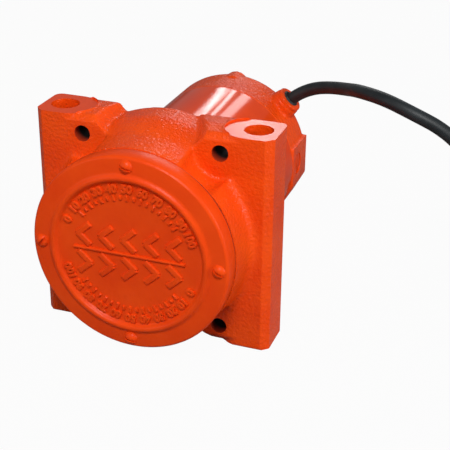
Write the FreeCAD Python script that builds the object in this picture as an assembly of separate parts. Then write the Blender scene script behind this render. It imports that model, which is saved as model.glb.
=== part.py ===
import FreeCAD, Part
import math
import os
from FreeCAD import Vector

# Rotary electric vibrator: a universal motor spins an off-centre weight inside a cast
# housing that bolts to a hopper, chute or truck body. Millimetres.
# The pieces are modelled with the shaft along Y through Z = 0, the cover towards -Y and
# the motor towards +Y. export() then lifts them so that the mounting foot stands on Z = 0,
# with X = 0 and Y = 0 in the middle of the mounting plate.

# Clearances between a piece and its seat, on the radius
FIT = 0.02              # located or pressed pieces of one body
RUNNING = 0.05          # pieces that turn or slide in each other
SCREW_GAP = 0.25        # bolt in its clearance hole

# Mounting plate, cast with the housing
PLATE_WIDTH = 164.0
PLATE_HEIGHT = 152.0
PLATE_THICKNESS = 34.0
CORNER_CHAMFER = 5.0    # front upright corners
CORNER_ROUND = 5.0      # back upright corners
PAD_RAISE = 1.0         # machined bolt pads above the rough casting
PAD_REACH = 36.5        # from the plate's end to the rounded inner end of a pad
FOOT_BORE = 19.05       # upright bores for 3/4 in bolts
FOOT_BORE_INSET = 14.5   # bore axis from the plate's side
FACE_HOLE = 11.1        # holes for 3/8 in bolts through the plate
FACE_HOLE_OFFSET = 19.875   # from a foot bore's axis, across the plate
FACE_HOLE_INSET = 13.5      # from the top or the foot
LUG_WIDTH = 41.7        # of a lug at its rough top
VALLEY_DEPTH = 9.8      # from the rough lug top down to the foot of its inner slope
VALLEY_SLOPE = 43.0     # degrees from the upright
SCALLOP_RADIUS = 18.0   # room for a bolt head in front of each face hole
SCALLOP_ROOT = 2.0      # fillet where a scallop or the nose meets the plate

# Nose of the housing, with the weight chamber
NOSE_RADIUS = 67.5
NOSE_LENGTH = 23.7
NOSE_DRAFT = 7.0        # degrees
CHAMBER_WALL = 15.5     # at the nose's front
BACK_ROUND = 5.0        # rounded rear rim between the lugs
SHOULDER_WIDTH = 2.0    # lip behind the front bearing
RETAINER_THICKNESS = 4.0
RETAINER_RADIUS = 47.0
SPIGOT_LENGTH = 5.0     # registers that centre the motor shell
SPIGOT_WALL = 6.0

# Cover, gasket and cover screws
GASKET_THICKNESS = 0.8
COVER_THICKNESS = 13.0
COVER_EDGE_ROUND = 1.2
DISC_INSET = 17.2       # disc inside the raised bead, from the cover's edge
DISC_RECESS = 1.0
DISC_THICKNESS = 4.5
BEAD_WIDTH = 5.2
BEAD_RAISE = 1.6
PILOT_DEPTH = 3.0
PILOT_WALL = 5.0
COVER_SCREW_INSET = 6.5
COVER_SCREW_RADIUS = 2.4
COVER_SCREW_HEAD = 4.6
COVER_SCREW_RAISE = 3.0
COVER_SCREW_GRIP = 10.0     # thread in the housing
COVER_SCREW_SLOTS = (-20.0, -30.0, -15.0, 50.0)   # how far each was turned home

# Rotor line
FRONT_BEARING = {"bore": 30.0, "outer": 72.0, "width": 19.0, "ball": 12.0, "balls": 8}
REAR_BEARING = {"bore": 17.0, "outer": 40.0, "width": 12.0, "ball": 6.75, "balls": 8}
WEIGHT_CLEARANCE = 6.0      # to the chamber's wall
WEIGHT_THICKNESS = 23.0
WEIGHT_SET_BACK = 2.0       # weight behind the front of its hub
HUB_RADIUS = 21.0
HUB_LENGTH = 26.5
SLEEVE_LENGTH = 5.5
SLEEVE_RADIUS = 19.0
SHAFT_NOSE_RADIUS = 12.5
SHAFT_NOSE_SHORT = 1.0      # shaft end inside the hub, so that the washer clamps the hub
SHAFT_COLLAR_RADIUS = 18.0
SHAFT_COLLAR_WIDTH = 5.0
SHAFT_CORE_RADIUS = 11.0
KEY_WIDTH = 8.0
KEY_HEIGHT = 7.0
KEY_LENGTH = 20.0
KEY_IN_SHAFT = 4.0
END_WASHER_RADIUS = 17.0
END_WASHER_THICKNESS = 3.0
END_BOLT_RADIUS = 5.0
END_BOLT_GRIP = 22.0
END_BOLT_HEAD = 6.4
END_BOLT_FLATS = 16.0
RETAINER_SCREW_CIRCLE = 41.5
RETAINER_SCREW_RADIUS = 2.5
RETAINER_SCREW_HEAD = 4.6
RETAINER_SCREW_GRIP = 10.0

# Motor
SHELL_RADIUS = 57.15        # 4 1/2 in tube
SHELL_WALL = 4.0
SHELL_LENGTH = 99.5
STACK_START = 22.0          # stator and armature stacks, behind the mounting plate
STACK_LENGTH = 50.0
AIR_GAP = 0.6
ARMATURE_SHARE = 0.525      # of the shell's radius
SLOT_COUNT = 16
SLOT_RADIUS = 2.9
SLOT_INSET = 6.5            # slot centres below the armature's surface
SLOT_MOUTH = 2.0
OVERHANG = 10.0             # end windings past the stack
POLE_NECK = 44.0            # width of a field pole behind its shoe
POLE_SHOE_ANGLE = 62.0      # half the arc of a pole shoe, degrees
SHOE_THICKNESS = 5.0
YOKE_THICKNESS = 8.0
COIL_WALL = 5.5
COMMUTATOR_RADIUS = 19.0
COMMUTATOR_LENGTH = 24.0
COMMUTATOR_BARS = 24
COMMUTATOR_START = 96.0     # behind the mounting plate
RISER_RADIUS = 21.5
RISER_WIDTH = 3.0
BRUSH_WIDTH = 7.0
BRUSH_DEPTH = 10.0          # along the shaft
BRUSH_LENGTH = 17.0
BRUSH_SET_BACK = 3.5        # from the commutator's rear end
HOLDER_RADIUS = 8.0
HOLDER_STAND_OFF = 2.5      # from the commutator
SPRING_WIRE = 0.9
SPRING_RADIUS = 2.8
SPRING_TURNS = 4
SPRING_STEPS = 8            # straight steps in a turn
CAP_LENGTH = 5.5
CAP_RECESS = 0.5

# End bell
BELL_LENGTH = 37.5
BELL_WALL = 5.0
BELL_ROUND = 8.0
PAD_PROUD = 0.25            # flat of a brush pad, outside the shell
PAD_HALF_HEIGHT = 15.0
PAD_FRONT = 1.5             # behind the seam
PAD_LENGTH = 33.0
BRUSH_BOSS_RADIUS = 11.5
BEARING_POCKET_WALL = 5.0
REAR_BOSS_RAISE = 2.5
WAVE_WASHER = 1.2
THROUGH_BOLT_INSET = 8.15   # inside the shell's outer face
THROUGH_BOLT_RADIUS = 3.0
THROUGH_BOLT_GRIP = 16.0
THROUGH_BOLT_HEAD = 4.0
THROUGH_BOLT_FLATS = 10.0
BOLT_WASHER_RADIUS = 6.2
BOLT_WASHER_THICKNESS = 1.2
BOLT_BOSS_RADIUS = 9.3
BOLT_BOSS_LENGTH = 14.0

# Cord entry and cord
GLAND_ANGLE = 44.5          # above the horizontal, degrees
GLAND_SET_BACK = 13.0       # gland axis ahead of the bell's back face
GLAND_BOSS_BASE = 12.5
GLAND_BOSS_TIP = 10.4
GLAND_BOSS_RISE = 5.35      # above the shell
GLAND_SHANK = 8.0
GLAND_SHANK_LENGTH = 11.0
GLAND_RIM = 10.0
GLAND_RIM_WIDTH = 3.0
GROMMET_WALL = 1.9
GROMMET_PROUD = 1.0
CORD_RADIUS = 4.7
COIL_RADIUS = 52.0          # middle of the turns
COIL_LAYERS = 2
COIL_CENTRE = (252.0, 140.0)
# From inside the gland over the crest and down to the floor, heights above the foot
CORD_ROUTE = (
    (49.6, 141.0, 124.7), (64.6, 138.4, 133.3), (80.5, 131.4, 138.0),
    (96.5, 116.3, 143.3), (108.6, 91.0, 152.2), (130.4, 74.2, 154.8),
    (152.3, 66.4, 149.8), (172.6, 66.4, 141.6), (190.1, 66.5, 127.2),
    (206.5, 59.0, 114.6), (219.2, 55.9, 94.3), (224.0, 59.1, 69.8),
    (217.8, 66.2, 46.0), (204.3, 79.2, 28.9), (201.1, 97.4, 11.9),
    (195.6, 120.3, 4.7),
)
TAIL_LENGTH = 44.0          # free cord from the coil to the plug
PLUG_RADIUS = 14.1
PLUG_LENGTH = 34.0
PLUG_NECK = 7.0
PLUG_NECK_LENGTH = 14.0
BLADE_LENGTH = 17.5
BLADE_HEIGHT = 6.35
BLADE_THICKNESS = 1.5
BLADE_SPACING = 12.7
EARTH_PIN_RADIUS = 2.4
EARTH_PIN_LENGTH = 20.5
EARTH_PIN_DROP = 11.9

# Stations along the shaft and other sizes that follow
FOOT = PLATE_HEIGHT / 2
FOOT_SPACING = PLATE_WIDTH - 2 * FOOT_BORE_INSET
FACE_SPACING_X = FOOT_SPACING - 2 * FACE_HOLE_OFFSET
FACE_SPACING_Z = PLATE_HEIGHT - 2 * FACE_HOLE_INSET
LUG_GAP = PLATE_WIDTH - 2 * LUG_WIDTH
PLATE_FRONT = -PLATE_THICKNESS / 2
PLATE_BACK = PLATE_THICKNESS / 2
LUG_TOP = PLATE_HEIGHT / 2 - PAD_RAISE
NOSE_FRONT = PLATE_FRONT - NOSE_LENGTH
CHAMBER_RADIUS = NOSE_RADIUS - CHAMBER_WALL
DISC_RADIUS = NOSE_RADIUS - DISC_INSET
COVER_SCREW_CIRCLE = NOSE_RADIUS - COVER_SCREW_INSET
WEIGHT_RADIUS = CHAMBER_RADIUS - WEIGHT_CLEARANCE
COVER_BACK = NOSE_FRONT - GASKET_THICKNESS
COVER_FRONT = COVER_BACK - COVER_THICKNESS
BEARING_BACK = PLATE_BACK - SHOULDER_WIDTH
BEARING_FRONT = BEARING_BACK - FRONT_BEARING["width"]
BULKHEAD_FRONT = BEARING_FRONT - RETAINER_THICKNESS
HUB_BACK = BEARING_FRONT - SLEEVE_LENGTH
HUB_FRONT = HUB_BACK - HUB_LENGTH
WEIGHT_FRONT = HUB_FRONT + WEIGHT_SET_BACK
SHELL_BORE = SHELL_RADIUS - SHELL_WALL
ARMATURE_RADIUS = SHELL_RADIUS * ARMATURE_SHARE
SLOT_CIRCLE = ARMATURE_RADIUS - SLOT_INSET
THROUGH_BOLT_CIRCLE = SHELL_RADIUS - THROUGH_BOLT_INSET
PAD_OUT = SHELL_RADIUS + PAD_PROUD
GLAND_BOSS_REACH = SHELL_RADIUS + GLAND_BOSS_RISE
SEAM = PLATE_BACK + SHELL_LENGTH
BELL_BACK = SEAM + BELL_LENGTH
STACK_FRONT = PLATE_BACK + STACK_START
STACK_BACK = STACK_FRONT + STACK_LENGTH
COMMUTATOR_FRONT = PLATE_BACK + COMMUTATOR_START
COMMUTATOR_BACK = COMMUTATOR_FRONT + COMMUTATOR_LENGTH
BRUSH_STATION = COMMUTATOR_BACK - BRUSH_DEPTH / 2 - BRUSH_SET_BACK
REAR_BOSS_BACK = BELL_BACK + REAR_BOSS_RAISE
POCKET_BACK = REAR_BOSS_BACK - BELL_WALL
REAR_BEARING_BACK = POCKET_BACK - WAVE_WASHER
REAR_BEARING_FRONT = REAR_BEARING_BACK - REAR_BEARING["width"]
GLAND_STATION = BELL_BACK - GLAND_SET_BACK
GLAND_OUT = Vector(math.cos(math.radians(GLAND_ANGLE)), 0, math.sin(math.radians(GLAND_ANGLE)))
CAP_BASE = PAD_OUT - CAP_RECESS - CAP_LENGTH

Y_AXIS = Vector(0, 1, 0)
Z_AXIS = Vector(0, 0, 1)


def on_axis(y):
    return Vector(0, y, 0)


def turned(profile):
    """Solid turned about the shaft axis; the profile lists (radius, y) corners."""
    corners = [Vector(radius, y, 0) for radius, y in profile]
    face = Part.Face(Part.makePolygon(corners + corners[:1]))
    return face.revolve(Vector(), Y_AXIS, 360)


def ring(outer, inner, front, back):
    """Plain ring about the shaft axis."""
    return turned([(inner, front), (outer, front), (outer, back), (inner, back)])


def disc(radius, front, back):
    """Plain cylinder on the shaft axis."""
    return Part.makeCylinder(radius, back - front, on_axis(front), Y_AXIS)


def bar(radius, start, end):
    """Round bar between two points."""
    along = end - start
    return Part.makeCylinder(radius, along.Length, start, along)


def block(low, high):
    """Box between two opposite corners."""
    size = Vector(*high) - Vector(*low)
    return Part.makeBox(size.x, size.y, size.z, Vector(*low))


def around(shape, count):
    """Copies of a shape spaced evenly about the shaft axis."""
    copies = []
    for index in range(count):
        copy = shape.copy()
        copy.rotate(Vector(), Y_AXIS, index * 360 / count)
        copies.append(copy)
    return copies


def hexagon(flats, length, base, along):
    """Hexagonal bar with a given width across its flats."""
    corner = flats / math.sqrt(3)
    corners = []
    for index in range(6):
        turn = math.radians(60 * index)
        corners.append(Vector(corner * math.cos(turn), corner * math.sin(turn), 0))
    face = Part.Face(Part.makePolygon(corners + corners[:1]))
    prism = face.extrude(Vector(0, 0, length))
    prism.Placement = FreeCAD.Placement(base, FreeCAD.Rotation(Z_AXIS, along))
    return prism


def export(name, *pieces):
    """Lift a node onto its foot and write it; several pieces stay separate solids."""
    shape = pieces[0] if len(pieces) == 1 else Part.makeCompound(list(pieces))
    shape = shape.copy()
    shape.translate(Vector(0, 0, FOOT))
    shape.exportStep("parts/" + name + ".step")
    return shape


# Housing -------------------------------------------------------------------------------

def plate_plan(width, depth):
    """Plan of the plate: chamfered front corners and rounded back corners."""
    side, front, back = width / 2, -depth / 2, depth / 2
    cut, bend = CORNER_CHAMFER, CORNER_ROUND
    lean = bend * (1 - math.sqrt(0.5))
    edges = [
        Part.LineSegment(Vector(-side + cut, front, 0), Vector(side - cut, front, 0)),
        Part.LineSegment(Vector(side - cut, front, 0), Vector(side, front + cut, 0)),
        Part.LineSegment(Vector(side, front + cut, 0), Vector(side, back - bend, 0)),
        Part.Arc(Vector(side, back - bend, 0), Vector(side - lean, back - lean, 0),
                 Vector(side - bend, back, 0)),
        Part.LineSegment(Vector(side - bend, back, 0), Vector(-side + bend, back, 0)),
        Part.Arc(Vector(-side + bend, back, 0), Vector(-side + lean, back - lean, 0),
                 Vector(-side, back - bend, 0)),
        Part.LineSegment(Vector(-side, back - bend, 0), Vector(-side, front + cut, 0)),
        Part.LineSegment(Vector(-side, front + cut, 0), Vector(-side + cut, front, 0)),
    ]
    return Part.Face(Part.Wire([edge.toShape() for edge in edges]))


def mounting_plate():
    """Upright plate whose four lugs carry the bolt pads, top and bottom alike."""
    plan = plate_plan(PLATE_WIDTH, PLATE_THICKNESS)
    rough = plan.extrude(Vector(0, 0, 2 * LUG_TOP))
    rough.translate(Vector(0, 0, -LUG_TOP))
    top = LUG_GAP / 2
    root = top - VALLEY_DEPTH * math.tan(math.radians(VALLEY_SLOPE))
    for side in (1, -1):
        valley = [Vector(-root, PLATE_FRONT - 1, side * (LUG_TOP - VALLEY_DEPTH)),
                  Vector(root, PLATE_FRONT - 1, side * (LUG_TOP - VALLEY_DEPTH)),
                  Vector(top, PLATE_FRONT - 1, side * LUG_TOP),
                  Vector(top, PLATE_FRONT - 1, side * (LUG_TOP + 1)),
                  Vector(-top, PLATE_FRONT - 1, side * (LUG_TOP + 1)),
                  Vector(-top, PLATE_FRONT - 1, side * LUG_TOP)]
        face = Part.Face(Part.makePolygon(valley + valley[:1]))
        rough = rough.cut(face.extrude(Vector(0, PLATE_THICKNESS + 2, 0)))
    pads = plan.extrude(Vector(0, 0, PLATE_HEIGHT))
    pads.translate(Vector(0, 0, -PLATE_HEIGHT / 2))
    nose = PLATE_THICKNESS / 2
    start = PLATE_WIDTH / 2 - PAD_REACH + nose
    stamps = []
    for side in (1, -1):
        low, high = sorted((side * start, side * (PLATE_WIDTH / 2 + 1)))
        stamp = block((low, PLATE_FRONT - 1, -FOOT), (high, PLATE_BACK + 1, FOOT))
        stamps.append(stamp)
        stamps.append(Part.makeCylinder(nose, PLATE_HEIGHT, Vector(side * start, 0, -FOOT)))
    pads = pads.common(stamps[0].fuse(stamps[1:]))
    return rough.fuse(pads)


def face_hole_places():
    places = []
    for x in (-FACE_SPACING_X / 2, FACE_SPACING_X / 2):
        for z in (-FACE_SPACING_Z / 2, FACE_SPACING_Z / 2):
            places.append((x, z))
    return places


def through_bolt_places():
    return [Vector(0, 0, THROUGH_BOLT_CIRCLE), Vector(0, 0, -THROUGH_BOLT_CIRCLE)]


def housing():
    """Cast housing: drafted nose, mounting plate, weight chamber and bearing seat."""
    spread = math.tan(math.radians(NOSE_DRAFT))
    back_radius = NOSE_RADIUS + spread * (PLATE_BACK - NOSE_FRONT)
    nose = turned([(0, NOSE_FRONT), (NOSE_RADIUS, NOSE_FRONT),
                   (back_radius, PLATE_BACK), (0, PLATE_BACK)])
    rear_rim = [edge for edge in nose.Edges
                if len(edge.Vertexes) == 1 and abs(edge.CenterOfMass.y - PLATE_BACK) < 1]
    nose = nose.makeFillet(BACK_ROUND, rear_rim)
    for x, z in face_hole_places():
        start = Vector(x, NOSE_FRONT - 1, z)
        length = PLATE_FRONT - start.y
        scallop = Part.makeCylinder(SCALLOP_RADIUS, length, start, Y_AXIS)
        root = [edge for edge in scallop.Edges
                if len(edge.Vertexes) == 1 and abs(edge.CenterOfMass.y - PLATE_FRONT) < 1]
        nose = nose.cut(scallop.makeFillet(SCALLOP_ROOT, root))
    body = mounting_plate().fuse(nose)
    spigot = ring(SHELL_BORE - FIT, SHELL_BORE - SPIGOT_WALL, PLATE_BACK, PLATE_BACK + SPIGOT_LENGTH)
    body = body.fuse(spigot).removeSplitter()

    cuts = [disc(CHAMBER_RADIUS, NOSE_FRONT - 1, BULKHEAD_FRONT),
            disc(RETAINER_RADIUS + FIT, BULKHEAD_FRONT - 1, BEARING_FRONT),
            disc(FRONT_BEARING["outer"] / 2 + FIT, BEARING_FRONT - 1, BEARING_BACK),
            disc(FRONT_BEARING["outer"] / 2 - 5, BEARING_BACK - 1, PLATE_BACK + 1)]
    for x in (-FOOT_SPACING / 2, FOOT_SPACING / 2):
        cuts.append(Part.makeCylinder(FOOT_BORE / 2, PLATE_HEIGHT + 2, Vector(x, 0, -FOOT - 1)))
    for x, z in face_hole_places():
        start = Vector(x, PLATE_FRONT - 1, z)
        cuts.append(Part.makeCylinder(FACE_HOLE / 2, PLATE_THICKNESS + 2, start, Y_AXIS))
    cuts += around(cover_screw_hole(), 4)
    start = Vector(RETAINER_SCREW_CIRCLE, BEARING_FRONT - 1, 0)
    tapped = Part.makeCylinder(RETAINER_SCREW_RADIUS + FIT, RETAINER_SCREW_GRIP + 2, start, Y_AXIS)
    turned_home = around(tapped, 8)
    cuts += turned_home[1::2]
    for place in through_bolt_places():
        end = place + on_axis(PLATE_BACK + SPIGOT_LENGTH + 1)
        cuts.append(bar(THROUGH_BOLT_RADIUS + FIT, end - on_axis(THROUGH_BOLT_GRIP + 3), end))
    return body.cut(cuts)


def cover_screw_hole():
    """Tapped hole for the cover screw at twelve o'clock."""
    start = Vector(0, NOSE_FRONT - 1, COVER_SCREW_CIRCLE)
    depth = COVER_SCREW_GRIP + 3
    return Part.makeCylinder(COVER_SCREW_RADIUS + FIT, depth, start, Y_AXIS)


# Cover ----------------------------------------------------------------------------------

def cover():
    """Cast cover with a raised bead round a shallow disc and a pilot that centres it."""
    disc_front = COVER_FRONT + DISC_RECESS
    disc_back = disc_front + DISC_THICKNESS
    pocket = CHAMBER_RADIUS - PILOT_WALL
    bead_out = DISC_RADIUS + BEAD_WIDTH
    outline = [
        Part.LineSegment(Vector(0, disc_front, 0), Vector(DISC_RADIUS, disc_front, 0)),
        Part.Arc(Vector(DISC_RADIUS, disc_front, 0),
                 Vector(DISC_RADIUS + BEAD_WIDTH * 0.45, COVER_FRONT - BEAD_RAISE, 0),
                 Vector(bead_out, COVER_FRONT, 0)),
        Part.LineSegment(Vector(bead_out, COVER_FRONT, 0),
                         Vector(NOSE_RADIUS, COVER_FRONT, 0)),
    ]
    rest = [(NOSE_RADIUS, COVER_FRONT), (NOSE_RADIUS, COVER_BACK),
            (CHAMBER_RADIUS - FIT, COVER_BACK), (CHAMBER_RADIUS - FIT, COVER_BACK + PILOT_DEPTH),
            (pocket, COVER_BACK + PILOT_DEPTH), (pocket, disc_back), (0, disc_back),
            (0, disc_front)]
    for start, end in zip(rest, rest[1:]):
        outline.append(Part.LineSegment(Vector(*start, 0), Vector(*end, 0)))
    face = Part.Face(Part.Wire([edge.toShape() for edge in outline]))
    body = face.revolve(Vector(), Y_AXIS, 360)
    rim = [edge for edge in body.Edges
           if len(edge.Vertexes) == 1 and abs(edge.Curve.Radius - NOSE_RADIUS) < 0.01
           and abs(edge.CenterOfMass.y - COVER_FRONT) < 0.01]
    body = body.makeFillet(COVER_EDGE_ROUND, rim)
    start = Vector(0, COVER_FRONT - 1, COVER_SCREW_CIRCLE)
    hole = Part.makeCylinder(COVER_SCREW_RADIUS + SCREW_GAP, COVER_THICKNESS + 2, start, Y_AXIS)
    return body.cut(around(hole, 4))


def cover_gasket():
    gasket = ring(NOSE_RADIUS - 0.3, CHAMBER_RADIUS + 0.5, COVER_BACK, NOSE_FRONT)
    start = Vector(0, COVER_BACK - 1, COVER_SCREW_CIRCLE)
    hole = Part.makeCylinder(COVER_SCREW_RADIUS + SCREW_GAP, GASKET_THICKNESS + 2, start, Y_AXIS)
    return gasket.cut(around(hole, 4))


def cover_screw(slot_angle):
    """Round-head slotted screw on the shaft axis, its slot turned home."""
    dome = (COVER_SCREW_HEAD ** 2 + COVER_SCREW_RAISE ** 2) / (2 * COVER_SCREW_RAISE)
    ball = Part.makeSphere(dome, on_axis(COVER_FRONT - COVER_SCREW_RAISE + dome))
    head = ball.common(disc(dome + 1, COVER_FRONT - COVER_SCREW_RAISE - 1, COVER_FRONT))
    shank = disc(COVER_SCREW_RADIUS, COVER_FRONT, NOSE_FRONT + COVER_SCREW_GRIP)
    slot = block((-COVER_SCREW_HEAD - 1, COVER_FRONT - COVER_SCREW_RAISE - 1, -0.6),
                 (COVER_SCREW_HEAD + 1, COVER_FRONT - COVER_SCREW_RAISE * 0.45, 0.6))
    slot.rotate(Vector(), Y_AXIS, -slot_angle)
    return head.fuse(shank).removeSplitter().cut(slot)


def cover_screws():
    screws = []
    for index, slot_angle in enumerate(COVER_SCREW_SLOTS):
        screw = cover_screw(slot_angle)
        turn = math.radians(90 * index)
        screw.translate(COVER_SCREW_CIRCLE * Vector(math.sin(turn), 0, math.cos(turn)))
        screws.append(screw)
    return screws


# Bearings -------------------------------------------------------------------------------

def bearing(prefix, size, front):
    """Deep-groove ball bearing: two grooved races, the balls and their cage."""
    middle = front + size["width"] / 2
    back = front + size["width"]
    pitch = (size["bore"] + size["outer"]) / 4
    ball = size["ball"] / 2
    groove = Part.makeTorus(pitch, ball + RUNNING, on_axis(middle), Y_AXIS)
    land = ball * 0.6
    export(prefix + "_outer_race",
           ring(size["outer"] / 2, pitch + land, front, back).cut(groove))
    export(prefix + "_inner_race",
           ring(pitch - land, size["bore"] / 2 + FIT, front, back).cut(groove))
    turn_ball = Part.makeSphere(ball, Vector(0, middle, pitch))
    export(prefix + "_balls", *around(turn_ball, size["balls"]))
    pocket = bar(ball + 2 * RUNNING, Vector(0, middle, 0), Vector(0, middle, size["outer"] / 2))
    half = ball * 1.25
    cage = ring(pitch + ball * 0.3, pitch - ball * 0.3, middle - half, middle + half)
    export(prefix + "_cage", cage.cut(around(pocket, size["balls"])))


def bearing_retainer():
    """Plate that holds the front bearing and carries the shaft seal."""
    bore = SLEEVE_RADIUS + 9
    plate = ring(RETAINER_RADIUS, bore, BULKHEAD_FRONT, BEARING_FRONT)
    shank = bar(RETAINER_SCREW_RADIUS + SCREW_GAP,
                Vector(RETAINER_SCREW_CIRCLE, BULKHEAD_FRONT - 1, 0),
                Vector(RETAINER_SCREW_CIRCLE, BEARING_FRONT + 1, 0))
    seat = retainer_screw_head(FIT)
    return plate.cut(around(shank, 8)[1::2]).cut(around(seat, 8)[1::2])


def retainer_screw_head(gap):
    """Countersunk head, flush with the front of the retainer."""
    depth = RETAINER_SCREW_HEAD - RETAINER_SCREW_RADIUS
    cone = Part.makeCone(RETAINER_SCREW_HEAD + gap, RETAINER_SCREW_RADIUS + gap, depth,
                         on_axis(BULKHEAD_FRONT), Y_AXIS)
    cone.translate(Vector(RETAINER_SCREW_CIRCLE, 0, 0))
    return cone


def retainer_screws():
    shank = bar(RETAINER_SCREW_RADIUS, Vector(RETAINER_SCREW_CIRCLE, BULKHEAD_FRONT + 0.5, 0),
                Vector(RETAINER_SCREW_CIRCLE, BEARING_FRONT + RETAINER_SCREW_GRIP, 0))
    screw = retainer_screw_head(0).fuse(shank).removeSplitter()
    socket = hexagon(3.0, 1.8, Vector(RETAINER_SCREW_CIRCLE, BULKHEAD_FRONT - 0.01, 0), Y_AXIS)
    return around(screw.cut(socket), 8)[1::2]


def shaft_seal():
    """Lip seal pressed in the retainer; its lip runs on the spacer sleeve."""
    outer = SLEEVE_RADIUS + 9 - FIT
    lip = SLEEVE_RADIUS + RUNNING
    front, back = BULKHEAD_FRONT, BEARING_FRONT - 0.3
    return turned([(outer, front), (outer, back), (outer - 1.5, back), (outer - 1.5, front + 1.2),
                   (lip + 2.2, front + 1.2), (lip + 1.6, back - 0.4), (lip, back - 1.4),
                   (lip + 1.2, front)])


# Rotor ----------------------------------------------------------------------------------

def eccentric_weight():
    """Half-round steel weight on a full hub, keyed to the nose of the shaft."""
    weight = disc(WEIGHT_RADIUS, WEIGHT_FRONT, WEIGHT_FRONT + WEIGHT_THICKNESS)
    half = block((-WEIGHT_RADIUS - 1, HUB_FRONT - 1, 0), (WEIGHT_RADIUS + 1, HUB_BACK + 1,
                                                           WEIGHT_RADIUS + 1))
    weight = weight.cut(half).fuse(disc(HUB_RADIUS, HUB_FRONT, HUB_BACK)).removeSplitter()
    bore = disc(SHAFT_NOSE_RADIUS + FIT, HUB_FRONT - 1, HUB_BACK + 1)
    key_top = SHAFT_NOSE_RADIUS - KEY_IN_SHAFT + KEY_HEIGHT
    keyway = block((-KEY_WIDTH / 2 - FIT, HUB_FRONT - 1, 0),
                   (KEY_WIDTH / 2 + FIT, HUB_BACK + 1, key_top + 0.1))
    return weight.cut(bore).cut(keyway)


def key_box(gap):
    middle = (HUB_FRONT + HUB_BACK) / 2
    bottom = SHAFT_NOSE_RADIUS - KEY_IN_SHAFT
    return block((-KEY_WIDTH / 2 - gap, middle - KEY_LENGTH / 2 - gap, bottom - gap),
                 (KEY_WIDTH / 2 + gap, middle + KEY_LENGTH / 2 + gap, bottom + KEY_HEIGHT + gap))


def rotor_shaft():
    """Stepped shaft from the weight to the rear bearing."""
    front = HUB_FRONT + SHAFT_NOSE_SHORT
    journal = FRONT_BEARING["bore"] / 2
    collar = BEARING_BACK + SHAFT_COLLAR_WIDTH
    tail = REAR_BEARING["bore"] / 2
    shaft = turned([(0, front), (SHAFT_NOSE_RADIUS - 1, front), (SHAFT_NOSE_RADIUS, front + 1),
                    (SHAFT_NOSE_RADIUS, BEARING_FRONT), (journal, BEARING_FRONT),
                    (journal, BEARING_BACK), (SHAFT_COLLAR_RADIUS, BEARING_BACK),
                    (SHAFT_COLLAR_RADIUS, collar), (SHAFT_CORE_RADIUS, collar),
                    (SHAFT_CORE_RADIUS, REAR_BEARING_FRONT), (tail, REAR_BEARING_FRONT),
                    (tail, REAR_BEARING_BACK - 0.8), (tail - 0.8, REAR_BEARING_BACK),
                    (0, REAR_BEARING_BACK)])
    tapped = disc(END_BOLT_RADIUS + FIT, front - 1, front + END_BOLT_GRIP + 3)
    return shaft.cut([tapped, key_box(FIT)])


def weight_washer():
    return ring(END_WASHER_RADIUS, END_BOLT_RADIUS + SCREW_GAP,
                HUB_FRONT - END_WASHER_THICKNESS, HUB_FRONT)


def weight_bolt():
    under_head = HUB_FRONT - END_WASHER_THICKNESS
    head = hexagon(END_BOLT_FLATS, END_BOLT_HEAD, on_axis(under_head - END_BOLT_HEAD), Y_AXIS)
    return head.fuse(disc(END_BOLT_RADIUS, under_head, HUB_FRONT + END_BOLT_GRIP))


def spacer_sleeve():
    return ring(SLEEVE_RADIUS, SHAFT_NOSE_RADIUS + FIT, HUB_BACK, BEARING_FRONT)


def slot_bars(radius, front, back):
    """Round bars in the armature's slots."""
    slot = bar(radius, Vector(0, front, SLOT_CIRCLE), Vector(0, back, SLOT_CIRCLE))
    return around(slot, SLOT_COUNT)


def armature_core():
    """Laminated steel core with a slot for each coil side."""
    core = ring(ARMATURE_RADIUS, SHAFT_CORE_RADIUS + FIT, STACK_FRONT, STACK_BACK)
    mouth = block((-SLOT_MOUTH / 2, STACK_FRONT - 1, SLOT_CIRCLE),
                  (SLOT_MOUTH / 2, STACK_BACK + 1, ARMATURE_RADIUS + 1))
    bulbs = slot_bars(SLOT_RADIUS, STACK_FRONT - 1, STACK_BACK + 1)
    return core.cut(bulbs + around(mouth, SLOT_COUNT))


def armature_winding():
    """Copper coils: bars through the slots joined by rounded end windings."""
    outer = ARMATURE_RADIUS - 2
    inner = SHAFT_CORE_RADIUS + 2
    soft = 3.0
    riser = COMMUTATOR_FRONT
    front = turned([(inner, STACK_FRONT), (outer, STACK_FRONT), (outer, STACK_FRONT - OVERHANG + soft),
                    (outer - soft, STACK_FRONT - OVERHANG), (inner, STACK_FRONT - OVERHANG)])
    back = turned([(inner, STACK_BACK), (outer, STACK_BACK), (outer, STACK_BACK + OVERHANG - soft),
                   (outer - soft, STACK_BACK + OVERHANG), (RISER_RADIUS - 1, riser),
                   (inner + 3, riser), (inner, riser - 3)])
    bars = slot_bars(SLOT_RADIUS - 0.1, STACK_FRONT, STACK_BACK)
    return front.fuse([back] + bars)


def commutator():
    """Copper bars parted by undercut mica, with a riser that takes the coil ends."""
    drum = turned([(SHAFT_CORE_RADIUS + FIT, COMMUTATOR_FRONT), (RISER_RADIUS, COMMUTATOR_FRONT),
                   (RISER_RADIUS, COMMUTATOR_FRONT + RISER_WIDTH),
                   (COMMUTATOR_RADIUS, COMMUTATOR_FRONT + RISER_WIDTH),
                   (COMMUTATOR_RADIUS, COMMUTATOR_BACK), (SHAFT_CORE_RADIUS + FIT, COMMUTATOR_BACK)])
    groove = block((-0.35, COMMUTATOR_FRONT - 1, COMMUTATOR_RADIUS - 1),
                   (0.35, COMMUTATOR_BACK + 1, RISER_RADIUS + 1))
    return drum.cut(around(groove, COMMUTATOR_BARS))


# Stator and shell -----------------------------------------------------------------------

def motor_shell():
    return ring(SHELL_RADIUS, SHELL_BORE, PLATE_BACK, SEAM)


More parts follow.
